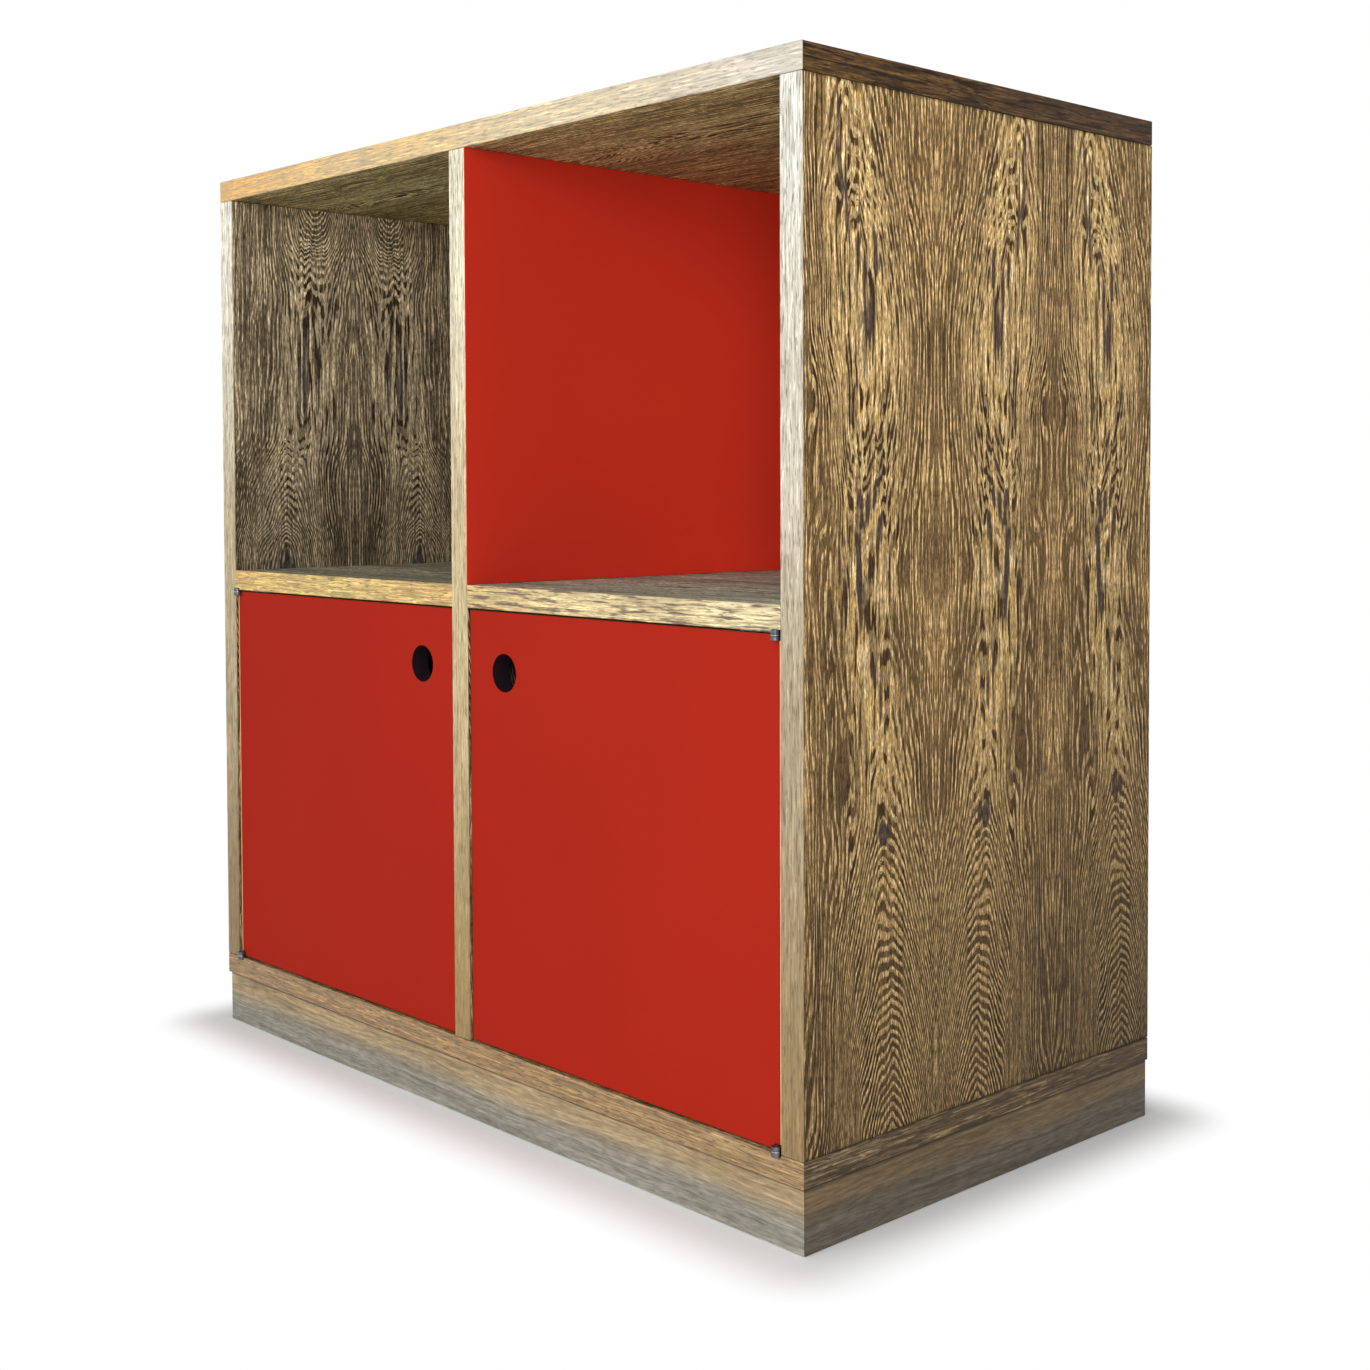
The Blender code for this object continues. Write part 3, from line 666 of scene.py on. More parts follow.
def edgeFinish(name, stretch, stops, grain=0.5, blotch=0.0, blotchColor=None, gloss=0.45):
    axis, low, high = stretch
    material = newMaterial(name, 0.4, specular=gloss)
    spot = bySide()
    run = spot.pop(axis)
    first, second = spot.values()
    across = plus(first, times(second, 1.3))
    colors = addNode("ValToRGB")
    colors.color_ramp.interpolation = "EASE"
    while len(colors.color_ramp.elements) < len(stops):
        colors.color_ramp.elements.new(0.5)
    for element, (place, *color) in zip(colors.color_ramp.elements, stops):
        element.position = place
        element.color = srgb(*color)
    feed(colors.inputs[0], ramp(run, low * 1000, high * 1000, smooth=False))

    # grain, light on dark and dark on light, and blotches where it has them
    fibre = noise((across, 0.5), (run, 1 / 40), 3.0, 3.0, 0.65)
    streak = noise((across, 0.2), (run, 1 / 90), 8.0, 2.0, 0.5)
    pore = noise((across, 0.62), (run, 1 / 14), 13.0, 2.0, 0.6)
    fleck = noise((across, 0.5), (run, 1 / 18), 17.0, 2.0, 0.6)
    shade = ramp(fibre, 0.3, 0.7, 1 - grain * 0.75, 1 + grain * 0.35, smooth=False)
    for layer in (
        ramp(streak, 0.3, 0.7, 1 - grain * 0.35, 1 + grain * 0.15),
        ramp(pore, 0.52, 0.62, 1.0, 1 - grain * 0.75),
        ramp(fleck, 0.55, 0.62, 1.0, 1 + grain * 0.55),
    ):
        shade = times(shade, layer)
    deep = [part * 0.42 for part in srgb(*min(color for place, *color in stops))]
    color = brighten(colors.outputs[0], calc("MAXIMUM", shade, 1.0))
    color = mixColors(ramp(shade, 0.3, 1.0, 1.0, 0.0, smooth=False), color, deep)
    if blotch:
        spots = noise((across, 0.22), (run, 1 / 45), 21.0, 3.0, 0.65)
        spots = ramp(spots, 0.5, 0.6, 0.0, blotch)
        color = mixColors(spots, color, srgb(*blotchColor))
    return coat(material, color, fibre, 0.1, 0.0002)


# painted highlight: the top's front edge runs from its golden colour at the left to a glare-pale
# cream at the right
topStrip = edgeFinish(
    "wenge top edge", alongX,
    [(0, 238, 184, 98), (0.35, 238, 200, 132), (0.7, 228, 208, 168), (1, 214, 206, 190)],
    grain=0.6,
)
topSideStrip = edgeFinish(
    "wenge top side edge", alongY,
    [(0, 128, 94, 48), (0.2, 116, 84, 44), (1, 98, 70, 42)],
    grain=1.25, blotch=0.95, blotchColor=(34, 20, 10), gloss=0.12,
)
# the uprights' front edges: their own paler straight grain, and a painted highlight that turns
# them near white towards the top, darker towards the bottom
leftStrip = edgeFinish(
    "wenge left edge", alongZ,
    [(0, 146, 119, 74), (0.5, 198, 180, 138), (1, 255, 249, 232)],
    grain=0.55,
)
middleStrip = edgeFinish(
    "wenge divider edge", alongZ,
    [(0, 164, 136, 80), (0.5, 210, 190, 142), (1, 246, 240, 214)],
)
rightStrip = edgeFinish(
    "wenge right edge", alongZ,
    [(0, 153, 126, 80), (0.4, 178, 162, 130), (0.7, 217, 210, 192), (1, 234, 234, 222)],
    grain=0.55,
)
leftShelfStrip = edgeFinish(
    "wenge left shelf edge", ("x", -half, 0),
    [(0, 240, 200, 112), (0.6, 240, 208, 126), (1, 222, 184, 108)],
    grain=0.9, blotch=0.3, blotchColor=(110, 76, 40),
)
rightShelfStrip = edgeFinish(
    "wenge right shelf edge", ("x", 0, half),
    [(0, 240, 206, 126), (0.5, 236, 212, 156), (1, 240, 224, 176)],
    grain=0.9, blotch=0.85, blotchColor=(84, 62, 56),
)
bottomStrip = edgeFinish(
    "wenge bottom edge", alongX,
    [(0, 168, 134, 88), (0.5, 176, 142, 94), (1, 172, 142, 98)],
    grain=0.9,
)
bottomSideStrip = edgeFinish(
    "wenge bottom side edge", alongY,
    [(0, 138, 120, 92), (0.5, 126, 106, 76), (1, 116, 94, 64)],
    grain=1.4, blotch=0.7, blotchColor=(56, 44, 34), gloss=0.12,
)
rearEdge = edgeFinish(
    "wenge rear edge", ("z", 0, top),
    [(0, 98, 76, 48), (1, 108, 84, 54)],
    grain=0.8,
)
endEdge = edgeFinish(
    "wenge board end", alongX,
    [(0, 98, 74, 46), (1, 98, 74, 46)],
    grain=0.8,
)


plinthLook = {
    "shadowLine": (42, 44),  # heights: a painted shadow line under the bottom board
    "gradient": (14, 36),  # from grey to brown
}


def plinthFinish(name, axis, upper, lower):
    # plain veneer that turns grey towards the floor
    material = newMaterial(name, 0.5, specular=0.15)
    spot = bySide()
    run = spot[axis]
    wander = noise((spot["z"], 1 / 30), (run, 1 / 150), 5.0, 2.0, 0.6)
    height = minus(slope(wander, 16.0, spot["z"]), 8.0)
    fibre = noise((height, 1 / 2.0), (run, 1 / 50), 3.0, 3.0, 0.65)
    streak = noise((height, 1 / 4.5), (run, 1 / 120), 8.0, 2.0)
    fine = noise((height, 1 / 1.6), (run, 1 / 13), 13.0, 2.0, 0.6)
    shade = ramp(fibre, 0.3, 0.7, 0.68, 1.25, smooth=False)
    for layer in (
        ramp(streak, 0.35, 0.65, 0.8, 1.14),
        ramp(fine, 0.4, 0.6, 1.1, 0.8),
        # painted shadow under the bottom board
        ramp(spot["z"], *plinthLook["shadowLine"], 1.0, 0.4),
    ):
        shade = times(shade, layer)
    color = mixColors(ramp(height, *plinthLook["gradient"]), srgb(*lower), srgb(*upper))
    return coat(material, brighten(color, shade), fibre, 0.1, 0.0002)


plinthFront = plinthFinish("wenge plinth front", "x", (176, 155, 119), (150, 146, 134))
plinthSide = plinthFinish("wenge plinth side", "y", (118, 99, 73), (104, 96, 84))


def redLaminate(name, red, paintedRearLight=1.0):
    material = newMaterial(name, 0.6, specular=0.03)
    x, y, z = millimetres()
    tone = ramp(cloud(6.0), 0.3, 0.7, 0.975, 1.02, smooth=False)
    # painted light: brighter towards the back when asked
    tone = times(tone, ramp(y, front * 1000, back * 1000, 1.0, paintedRearLight))
    return coat(material, brighten(srgb(*red), tone), cloud(900.0, 3.0), 0.06, 0.0001)


def doorEdge():
    # pale core, 14 mm thick, between the two brown edges of the laminate sheets
    material = newMaterial("door edge", 0.5, specular=0.35)
    x, y, z = millimetres((0, middleOf("left_door").y, 0))
    sheet = ramp(calc("ABSOLUTE", y), 7.0, 7.15, smooth=False)
    fibre = noise((y, 1.4), (plus(x, z), 1 / 30), 2.0, 3.0)
    core = brighten(srgb(208, 160, 104), ramp(fibre, 0.3, 0.7, 0.82, 1.12))
    return coat(material, mixColors(sheet, core, srgb(92, 34, 24)), fibre, 0.1, 0.0002)


def paleEdging():
    material = newMaterial("pale edging", 0.45, specular=0.4)
    x, y, z = millimetres()
    fibre = noise((y, 0.9), (z, 1 / 35), 5.0, 3.0, 0.6)
    share = ramp(fibre, 0.35, 0.65)
    color = mixColors(share, srgb(214, 150, 98), srgb(236, 184, 132))
    return coat(material, color, fibre, 0.1, 0.0002)


def holeBlack():
    # near-black, ridged wall of a finger hole
    material = newMaterial("finger hole dark wall", 0.7, specular=0.2)
    x, y, z = millimetres()
    ridge = noise((y, 0.8), (z, 1 / 3), 4.0, 3.0, 0.6)
    color = mixColors(ramp(ridge, 0.4, 0.7), srgb(22, 7, 16), srgb(34, 16, 26))
    return coat(material, color, ridge, 0.2, 0.0003)


def stainedPlywood():
    # rotary-cut face, and the plies on its edges
    material = newMaterial("stained plywood", 0.6, specular=0.25)
    x, y, z = millimetres((0, back, 0))
    warp = noise((x, 1 / 90), (z, 1 / 260), 2.0, 2.0)
    growth = slope(warp, 26.0, times(x, 1 / 60))
    late = times(waves(growth, 1.0), 0.6)
    fibre = noise((x, 1.1), (z, 1 / 22), 6.0, 3.0, 0.65)
    color = mixColors(late, srgb(112, 82, 54), srgb(84, 58, 38))
    plies = calc("SINE", times(y, math.pi / 1.6))
    plies = slope(plies, 0.1, 0.95)
    shade = times(ramp(fibre, 0.3, 0.7, 0.72, 1.2), plies)
    return coat(material, brighten(color, shade), fibre, 0.15, 0.0003)


def pineBlock():
    # late wood on a slant, bowed, with saw marks
    material = newMaterial("pine block", 0.65, specular=0.25)
    x, y, z = millimetres()
    slant = plus(x, times(y, 0.35))
    bow = slope(times(x, y), 0.0006, slant)
    late = calc("POWER", waves(bow, 3.4), 3.0)
    saw = noise((plus(x, y), 0.8), (z, 1 / 5), 9.0, 3.0, 0.65)
    color = mixColors(times(late, 0.75), srgb(214, 178, 124), srgb(164, 112, 62))
    color = brighten(color, ramp(saw, 0.3, 0.7, 0.86, 1.1))
    return coat(material, color, saw, 0.3, 0.0003)


def metal(name, light, dark, roughness, brush):
    # drawn metal, brushed along X, tarnished in soft clouds
    material = newMaterial(name, roughness, metallic=1.0)
    x, y, z = millimetres()
    girth = plus(y, z)
    lines = noise((girth, 5.0), (x, 1 / 4), 3.0, 3.0, 0.6)
    tarnish = noise((x, 1 / 9), (girth, 1 / 7), 12.0, 3.0, 0.6)
    color = mixColors(ramp(tarnish, 0.38, 0.66), srgb(*light), srgb(*dark))
    color = brighten(color, ramp(lines, 0.3, 0.7, 1 - brush, 1.05))
    dull = ramp(tarnish, 0.3, 0.7, roughness - 0.08, roughness + 0.1)
    feed(shaderOf(material).inputs["Roughness"], dull)
    return coat(material, color, lines, 0.08, 0.0001)


def ivoryPlastic():
    material = newMaterial("ivory plastic", 0.42, specular=0.5)
    tone = ramp(cloud(90.0), 0.3, 0.7, 0.94, 1.03)
    color = brighten(srgb(218, 210, 190), tone)
    return coat(material, color, cloud(1400.0), 0.15, 0.0001)


def ferriteStack():
    # sintered magnet, 4 mm thick, between two plain steel poles
    material = newMaterial("magnet and poles", 0.5)
    x, y, z = millimetres((0, 0, middleOf("left_catch_magnet").z))
    pole = ramp(calc("ABSOLUTE", z), 1.95, 2.05, smooth=False)
    grit = noise((x, 2.0), (plus(y, z), 2.0), 7.0, 3.0, 0.7)
    stone = brighten(srgb(58, 57, 60), ramp(grit, 0.3, 0.7, 0.7, 1.2))
    inputs = shaderOf(material).inputs
    feed(inputs["Metallic"], pole)
    feed(inputs["Roughness"], ramp(pole, 0.0, 1.0, 0.7, 0.34))
    return coat(material, mixColors(pole, stone, srgb(160, 160, 164)), grit, 0.15, 0.0002)


red = redLaminate("red laminate", (169, 39, 24))
# the divider's skin is the doors' red painted brighter, and brighter still towards the back:
# painted light against the niche's shade
skinRedPaintedLight = redLaminate("red laminate of the divider with painted light", (206, 52, 34), paintedRearLight=1.7)
doorCore = doorEdge()
pale = paleEdging()
fingerHoleDark = holeBlack()
plywood = stainedPlywood()
pine = pineBlock()
hingeSteel = metal("hinge steel", (118, 120, 134), (70, 72, 84), 0.42, 0.25)
zinc = metal("zinc screw", (206, 202, 186), (160, 152, 128), 0.34, 0.15)
ivory = ivoryPlastic()
ferrite = ferriteStack()
print("finishes made")


# boards: each is its CAD shape, cut back for the strips on its edges
boards = {
    "strip": 0.0012,  # thickness of the edge veneer
    "ease": 0.00018,  # rounding of the arrises
}


def cutBoard(name, node, finishes, cuts, choose=None, *replaced):
    piece = cutBack(copyNode(node, name), *cuts)
    roundArrises(piece, boards["ease"])
    dress(piece, finishes, choose)
    file(piece, "carcass", "wenge_veneer", *replaced)


def lyingFaces(centre, normal):
    return 0 if normal.z < -0.7 else 1 if normal.z > 0.7 else 2


def uprightFaces(centre, normal):
    return 0 if normal.x < -0.7 else 1 if normal.x > 0.7 else 2


# faces towards low, towards high and the rest, and the strips
lids = {
    "top_board": ([ceilingFace, lidFace, endEdge], topStrip, topSideStrip),
    "bottom_board": ([flatFace, flatFace, endEdge], bottomStrip, bottomSideStrip),
}
uprights = {
    "left_side": ([leftFace, wallFace, rearEdge], leftStrip),
    "right_side": ([wallFace, sideFace, rearEdge], rightStrip),
    "divider": ([wallFace, wallFace, rearEdge], middleStrip),
}
shelves = {
    "left_shelf": ([flatFace, shelfFace, endEdge], leftShelfStrip),
    "right_shelf": ([flatFace, rightShelfFace, endEdge], rightShelfStrip),
}


def makeBoards():
    ahead = ("y", front + boards["strip"], -1)
    behind = ("y", front + boards["strip"], 1)
    inside = half - boards["strip"]
    for node, (faces, strip, sideStrip) in lids.items():
        name = node.replace("board", "panel")
        between = [behind, ("x", -inside, 1), ("x", inside, -1)]
        cutBoard(name, node, faces, between, lyingFaces, node)
    for node, (faces, strip, sideStrip) in lids.items():
        name = node.replace("board", "")
        cutBoard(name + "front_strip", node, [strip], [ahead])
        cutBoard(name + "left_strip", node, [sideStrip], [behind, ("x", -inside, -1)])
        cutBoard(name + "right_strip", node, [sideStrip], [behind, ("x", inside, 1)])
    for group, choose in ((uprights, uprightFaces), (shelves, lyingFaces)):
        for node, (faces, strip) in group.items():
            cutBoard(node + "_panel", node, faces, [behind], choose, node)
        for node, (faces, strip) in group.items():
            cutBoard(node + "_strip", node, [strip], [ahead])


# rounding of the arrises of the other pieces, by their material slot
eases = {
    "wenge_veneer": 0.0006,
    "pine": 0.0005,
    "stained_plywood": 0.0002,
    "red_laminate": 0.0001,
    "pale_edging": 0.0003,
    "hinge_steel": 0.0002,
    "zinc_screw": 0.00008,
    "ivory_plastic": 0.0004,
    "ferrite": 0.00012,
}


def refine(node, finish, slot, segments=2):
    # a CAD piece with eased edges and its own finish
    piece = copyNode(node, node + "_fine")
    roundArrises(piece, eases[slot], segments)
    dress(piece, [finish])
    file(piece, bodyOf(node), slot, node)


backScrews = {
    "edge": 0.3595,  # columns by the sides, from the middle
    "inset": 0.06,  # their ends, from the panel's top and bottom
    "inner": 0.18,  # columns between them
    "rows": (0.0585, 0.7755),
    "mouth": 0.0033,  # radius of the holes at the panel's face
    "mouthDepth": 0.0004,
    "mouthSides": 32,
    "sunk": 0.0005,  # heads below the face
}


def backScrewSpots():
    low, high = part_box("back_panel")
    inset = backScrews["inset"]
    levels = (low.z + inset, (low.z + high.z) / 2, high.z - inset)
    spots = []
    for column, heights in (("edge", levels), ("inner", backScrews["rows"])):
        for x in (-backScrews[column], backScrews[column]):
            spots += [(x, z) for z in heights]
    return spots + [(0.0, levels[0]), (0.0, levels[2])]


def makePlinthAndBack():
    refine("plinth_front", plinthFront, "wenge_veneer")
    refine("plinth_left", plinthSide, "wenge_veneer")
    refine("plinth_right", plinthSide, "wenge_veneer")
    refine("plinth_back", plinthFront, "wenge_veneer")
    for corner in ("front_left", "front_right", "back_left", "back_right"):
        refine("plinth_block_" + corner, pine, "pine")
    panel = copyNode("back_panel", "back_panel_fine")
    depth = 2 * backScrews["mouthDepth"]
    sides = backScrews["mouthSides"]
    mouths = [
        addRod("mouth", (x, back, z), backScrews["mouth"], depth, (0, 1, 0), sides)
        for x, z in backScrewSpots()
    ]
    carve(panel, *mouths)
    roundArrises(panel, eases["stained_plywood"])
    dress(panel, [plywood])
    file(panel, "carcass", "stained_plywood", "back_panel")
    refine("divider_facing", skinRedPaintedLight, "red_laminate")


doors = {
    "ease": 0.0004,
    "fingerHole": 0.015,  # radius
    "holeSides": 96,
    "fromFreeEdge": 0.0435,
    "fromTop": 0.047,
    "axisInset": 0.0042,  # of the hinge line, from the side's inner face
    "knuckle": 0.0034,
    "leafWidth": 0.01,
    "leafLength": 0.042,
    "leafMiddle": 0.0105,  # behind the carcass front
    "leafSides": 48,
    "slack": 0.0003,
    "past": 0.01,  # how far cutters reach past a face
    "pastEnd": 0.002,  # and past a door's ends
    "overlap": 0.0001,  # of cutters that meet
    "drillDepth": 0.05,
    "nearHole": 0.0008,  # faces this near to the hole's radius are its wall
}


def leafRoom(name, hand, low, high):
    # room for a hinge leaf in a door's end: a slot with a round end, open at the knuckle
    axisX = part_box("right_side")[0].x - doors["axisInset"]
    reach = doors["leafLength"] - doors["leafWidth"] / 2
    wide = doors["leafWidth"] / 2 + doors["slack"]
    y = front + doors["leafMiddle"]
    outer = hand * (axisX + doors["past"])
    inner = hand * (axisX - reach)
    knuckle = hand * (axisX - doors["knuckle"] - doors["slack"])
    overlap = doors["overlap"]
    slot = addBlock(name, (min(outer, inner), y - wide, low), (max(outer, inner), y + wide, high))
    middle = (inner, y, (low + high) / 2)
    end = addRod(name + "_end", middle, wide, high - low, (0, 0, 1), doors["leafSides"])
    pocket = addBlock(
        name + "_pocket",
        (min(outer, knuckle), front - doors["past"], low - overlap),
        (max(outer, knuckle), y, high + overlap),
    )
    return slot, end, pocket


def makeDoor(side, hand):
    node = side + "_door"
    low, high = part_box(node)
    panel = addBlock(side + "_door_panel", low, high)
    freeX = low.x if hand > 0 else high.x
    holeX = freeX + hand * doors["fromFreeEdge"]
    holeZ = high.z - doors["fromTop"]
    hole = (holeX, middleOf(node).y, holeZ)
    sides = doors["holeSides"]
    drill = addRod("drill", hole, doors["fingerHole"], doors["drillDepth"], (0, 1, 0), sides)
    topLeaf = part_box(side + "_top_door_leaf")[0].z
    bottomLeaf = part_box(side + "_bottom_door_leaf")[1].z
    slack = doors["slack"]
    rooms = leafRoom("top_room", hand, topLeaf - slack, high.z + doors["pastEnd"])
    rooms += leafRoom("bottom_room", hand, low.z - doors["pastEnd"], bottomLeaf + slack)
    carve(panel, drill, *rooms)
    roundArrises(panel, doors["ease"])

    def faces(centre, normal):
        # skins, edges, and the wall of the finger hole
        fromHole = math.hypot(centre.x - holeX, centre.z - holeZ)
        if abs(fromHole - doors["fingerHole"]) < doors["nearHole"] and abs(normal.y) < 0.5:
            return 2
        return 0 if abs(normal.y) > 0.5 else 1

    dress(panel, [red, doorCore, fingerHoleDark], faces)
    file(panel, node, "red_laminate", node)
    refine(side + "_door_edging", pale, "pale_edging")
    refine(side + "_strike_plate", hingeSteel, "hinge_steel")


def makeHinges(side):
    for end in ("top", "bottom"):
        for part in ("hinge_plate", "door_leaf", "hinge_pin"):
            refine(f"{side}_{end}_{part}", hingeSteel, "hinge_steel")
        refine(f"{side}_{end}_hinge_washer", zinc, "zinc_screw")


def makeCatch(side):
    refine(side + "_catch_housing", ivory, "ivory_plastic", segments=3)
    refine(side + "_catch_magnet", ferrite, "ferrite")


# countersunk wood screws with a cross recess
screws = {
    "sides": 20,
    "small": (0.0029, 0.0016, 0.0014),  # head radius, head depth, shank radius
    "stout": (0.004, 0.0022, 0.002),
    "rim": 0.0002,  # upright edge of the head
    "neck": 0.0012,  # plain shank under the head
    "taper": 0.98,  # of the neck
    "pitch": 0.0012,
    "tip": 0.003,
    "point": 0.08,  # radius of its end over that of the thread's root
    "root": 0.74,  # radius over the shank's
    "recess": 0.62,  # half span of the cross over the head's radius
    "arm": 0.11,  # half width of its arms
    "recessDepth": 0.75,  # over the head's depth
    "above": 0.001,  # cutters over the head
}
# kind, length within the CAD hole, and the degrees that the cross turns by from one to the
# next
screwUses = {
    "leaf": ("small", 0.014, 37),
    "back": ("small", 0.025, 53),
    "block": ("stout", 0.0527, 29),
    "catch": ("small", 0.012, 41),
    "strike": ("small", 0.01, 61),
}
# where they sit in their pieces
screwSpots = {
    "blockLeg": 0.034,  # of the three-cornered glue blocks
    "blockStep": 0.008,
    "catchStep": 0.018,
    "catchFlange": 0.003,
    "strikeStep": 0.0145,
}


def modelScrew(use):
    kind, length, turn = screwUses[use]
    head, headDepth, shank = screws[kind]
    rim = screws["rim"]
    deselectAll()
    bpy.ops.mesh.primitive_cylinder_add(
        vertices=screws["sides"], radius=head, depth=rim, location=(0, 0, -rim / 2)
    )
    screw = bpy.context.object
    screw.name = use + "_screw_pattern"
    settle(screw)

    def carryOn(down, radius, before):
        # extrudes the lowest face down and scales it to a new radius
        bpy.ops.mesh.extrude_region_move(TRANSFORM_OT_translate={"value": (0, 0, -down)})
        bpy.ops.transform.resize(value=(radius / before, radius / before, 1))
        return radius

    editAll(screw)
    bpy.ops.mesh.select_all(action="DESELECT")
    backToObject()
    for face in screw.data.polygons:
        face.select = face.normal.z < -0.9
    bpy.ops.object.mode_set(mode="EDIT")
    now = carryOn(headDepth - rim, shank, head)
    now = carryOn(screws["neck"], shank * screws["taper"], now)
    depth = headDepth + screws["neck"]
    root = shank * screws["root"]
    # each turn of the thread is a groove, a crest and the way back
    while depth < length - screws["tip"]:
        for radius, share in ((root, 0.45), (shank, 0.3), (root, 0.25)):
            now = carryOn(screws["pitch"] * share, radius, now)
        depth += screws["pitch"]
    carryOn(length - depth, root * screws["point"], now)
    backToObject()

    span = head * screws["recess"]
    arm = head * screws["arm"]
    floor = -headDepth * screws["recessDepth"]
    above = screws["above"]
    cross = addBlock("cross", (-span, -arm, floor), (span, arm, above))
    otherArm = addBlock("cross_arm", (-arm, -span, floor), (arm, span, above))
    carve(screw, cross, otherArm)
    pick(screw)
    bpy.ops.object.shade_smooth_by_angle(angle=math.radians(32))
    return screw


def driveScrew(name, use, number, point, direction, body, *replaced):
    # a copy of the use's pattern, its head at the point and its tip along the direction
    screw = link(name, bpy.data.objects[use + "_screw_pattern"].data.copy())
    spin = Matrix.Rotation(math.radians(number * screwUses[use][2]), 4, "Z")
    screw.matrix_world = Matrix.Translation(point) @ turnTo((0, 0, -1), direction) @ spin
    settle(screw)
    dress(screw, [zinc])
    file(screw, body, "zinc_screw", *replaced)


def driveHingeScrews():
    count = 0
    for side in ("left", "right"):
        for end, inward in (("top", -1), ("bottom", 1)):
            for part, direction in (("plate", -inward), ("leaf", inward)):
                for number in (1, 2):
                    node = f"{side}_{end}_{part}_screw_{number}"
                    head = middleOf(node)
                    head.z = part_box(node)[0 if direction > 0 else 1].z
                    aim = (0, 0, direction)
                    count += 1
                    driveScrew(node + "_fine", "leaf", count, head, aim, bodyOf(node), node)


def driveBackScrews():
    y = back - backScrews["sunk"]
    for number, (x, z) in enumerate(backScrewSpots(), 1):
        name = f"back_screw_{number:02d}"
        driveScrew(name, "back", number, (x, y, z), (0, -1, 0), "carcass")


def driveBlockScrews():
    # from below; the middle of a block's triangle lies a sixth of its leg nearer the corner,
    # and the crosses turn 30 degrees more from block to block
    inward = screwSpots["blockLeg"] / 6
    step = screwSpots["blockStep"]
    corners = ("front_left", "front_right", "back_right", "back_left")
    for quarters, corner in enumerate(corners):
        middle = middleOf("plinth_block_" + corner)
        middle.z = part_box("plinth_block_" + corner)[0].z
        turned = Matrix.Rotation(math.radians(90 * quarters), 4, "Z")
        for number, shift in ((1, -step), (2, step)):
            point = middle + turned @ Vector((shift - inward, -shift - inward, 0))
            name = f"block_{corner}_screw_{number}"
            turn = number + quarters * 30 / screwUses["block"][2]
            driveScrew(name, "block", turn, point, (0, 0, 1), "carcass")


def driveDoorScrews(side):
    catch = side + "_catch_housing"
    strike = side + "_strike_plate"
    for number, way in ((1, -1), (2, 1)):
        point = middleOf(catch)
        point.x += way * screwSpots["catchStep"]
        point.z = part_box(catch)[1].z - screwSpots["catchFlange"]
        driveScrew(f"{side}_catch_screw_{number}", "catch", number, point, (0, 0, 1), "carcass")
    for number, way in ((1, -1), (2, 1)):
        point = middleOf(strike)
        point.x += way * screwSpots["strikeStep"]
        point.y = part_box(strike)[1].y
        name = f"{side}_strike_screw_{number}"
        driveScrew(name, "strike", number, point, (0, -1, 0), side + "_door")


def makeScrews():
    patterns = [modelScrew(use) for use in screwUses]
    driveHingeScrews()
    driveBackScrews()
    driveBlockScrews()
    driveDoorScrews("left")
    driveDoorScrews("right")
    for pattern in patterns:
        bpy.data.objects.remove(pattern, do_unlink=True)


makeBoards()
print("boards and strips made")
makePlinthAndBack()
print("plinth and back made")
makeDoor("left", -1)
makeDoor("right", 1)
print("doors made")
for name in ("left", "right"):
    makeHinges(name)
    makeCatch(name)
print("hinges and catches made")
makeScrews()
print("screws driven")


# floor, light and camera
studio = {
    "ambient": 0.36,
    "floorColor": 0.93,
    "floorRadius": 7,
    "floorSunk": 0.0002,
    "fadeTo": 0.07,  # distance from the plinth at which the floor turns white
    "aimHeight": 0.45,
}
# place, size and power of the softboxes
lamps = {
    "key": ((2.05, -2.35, 1.0), (1.0, 1.4), 32.0),
    "nicheLight": ((1.4, -1.45, 0.72), (0.7, 0.7), 7.0),
    "overhead": ((0.2, -2.2, 2.4), (1.4, 1.0), 19.0),
    "fill": ((-2.2, -2.5, 0.6), (1.6, 1.2), 9.0),
}


def cameraOrGloss():
    path = addNode("LightPath")
    seen = calc("MAXIMUM", path.outputs["Is Camera Ray"], path.outputs["Is Glossy Ray"])
    return calc("MAXIMUM", seen, path.outputs["Is Transmission Ray"])


def makeWorld():
    world = bpy.data.worlds.new("studio")
    bpy.context.scene.world = world
    world.use_nodes = True
    drawing["tree"] = world.node_tree
    background = world.node_tree.nodes["Background"]
    background.inputs["Color"].default_value = (1, 1, 1, 1)
    seen = cameraOrGloss()
    strength = ramp(seen, 0.0, 1.0, studio["ambient"], 1.0, smooth=False)
    feed(background.inputs["Strength"], strength)


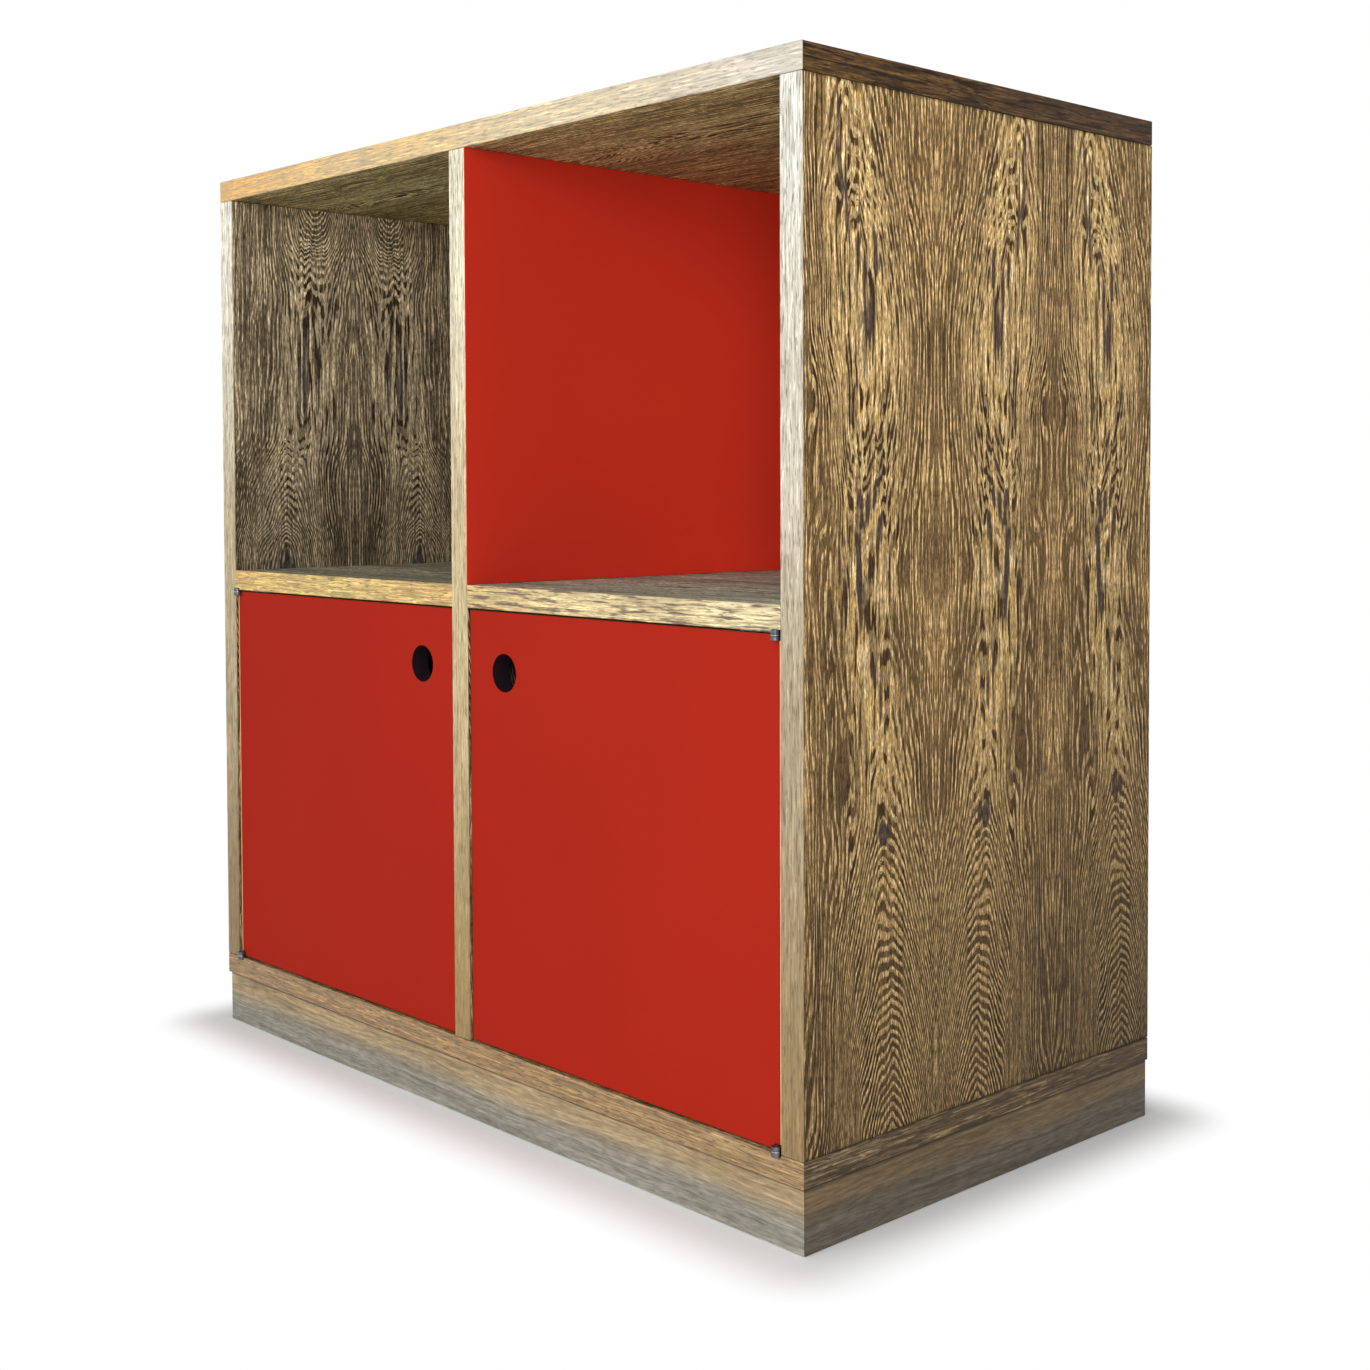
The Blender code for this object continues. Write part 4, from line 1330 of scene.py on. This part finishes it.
def makeFloor():
    deselectAll()
    bpy.ops.mesh.primitive_circle_add(
        vertices=96,
        radius=studio["floorRadius"],
        fill_type="NGON",
        location=(0, 0, -studio["floorSunk"]),
    )
    floor = settle(bpy.context.object)
    floor.name = "studio_floor"
    material = newMaterial("studio floor", 0.9, specular=0.1)
    grey = studio["floorColor"]
    split = addNode("SeparateXYZ")
    feed(split.inputs[0], addNode("TexCoord").outputs["Object"])
    squares = []
    for place, edge in zip(split.outputs, (half, back)):
        beyond = minus(calc("ABSOLUTE", place), edge)
        squares.append(calc("POWER", calc("MAXIMUM", beyond, 0.0), 2.0))
    far = ramp(calc("SQRT", plus(*squares)), 0.0, studio["fadeTo"])
    glow = addNode("Emission")
    glow.inputs["Color"].default_value = (1, 1, 1, 1)
    glow.inputs["Strength"].default_value = 1.0
    mix = addNode("MixShader")
    feed(mix.inputs[0], times(far, cameraOrGloss()))
    feed(mix.inputs[1], shaderOf(material).outputs[0])
    feed(mix.inputs[2], glow.outputs[0])
    feed(material.node_tree.nodes["Material Output"].inputs[0], mix.outputs[0])
    shaderOf(material).inputs["Base Color"].default_value = (grey, grey, grey, 1)
    dress(floor, [material])


def addSoftbox(name, place, size, power):
    lamp = bpy.data.lights.new(name, "AREA")
    lamp.shape = "RECTANGLE"
    lamp.size, lamp.size_y = size
    lamp.energy = power
    holder = link(name, lamp)
    holder.location = place
    aim = Vector((0, 0, studio["aimHeight"])) - Vector(place)
    holder.rotation_euler = aim.to_track_quat("-Z", "Y").to_euler()


# the view, fitted to the cabinet's corners
view = {
    "sensor": 36.0,
    "focal": 48.44,
    "shift": -0.1017,
    "nearest": 0.05,
    "place": (1.1941, -1.0616, 0.506),
    "turn": (88.093, 0.187, 47.128),  # degrees
}


def makeCamera():
    lens = bpy.data.cameras.new("camera")
    lens.sensor_width = view["sensor"]
    lens.lens = view["focal"]
    lens.shift_y = view["shift"]
    lens.clip_start = view["nearest"]
    camera = link("camera", lens)
    camera.location = view["place"]
    camera.rotation_euler = [math.radians(angle) for angle in view["turn"]]
    bpy.context.scene.camera = camera


makeWorld()
makeFloor()
for name, (place, size, power) in lamps.items():
    addSoftbox(name, place, size, power)
makeCamera()
bpy.context.scene.view_settings.view_transform = "Standard"
print("stage, light and camera set")
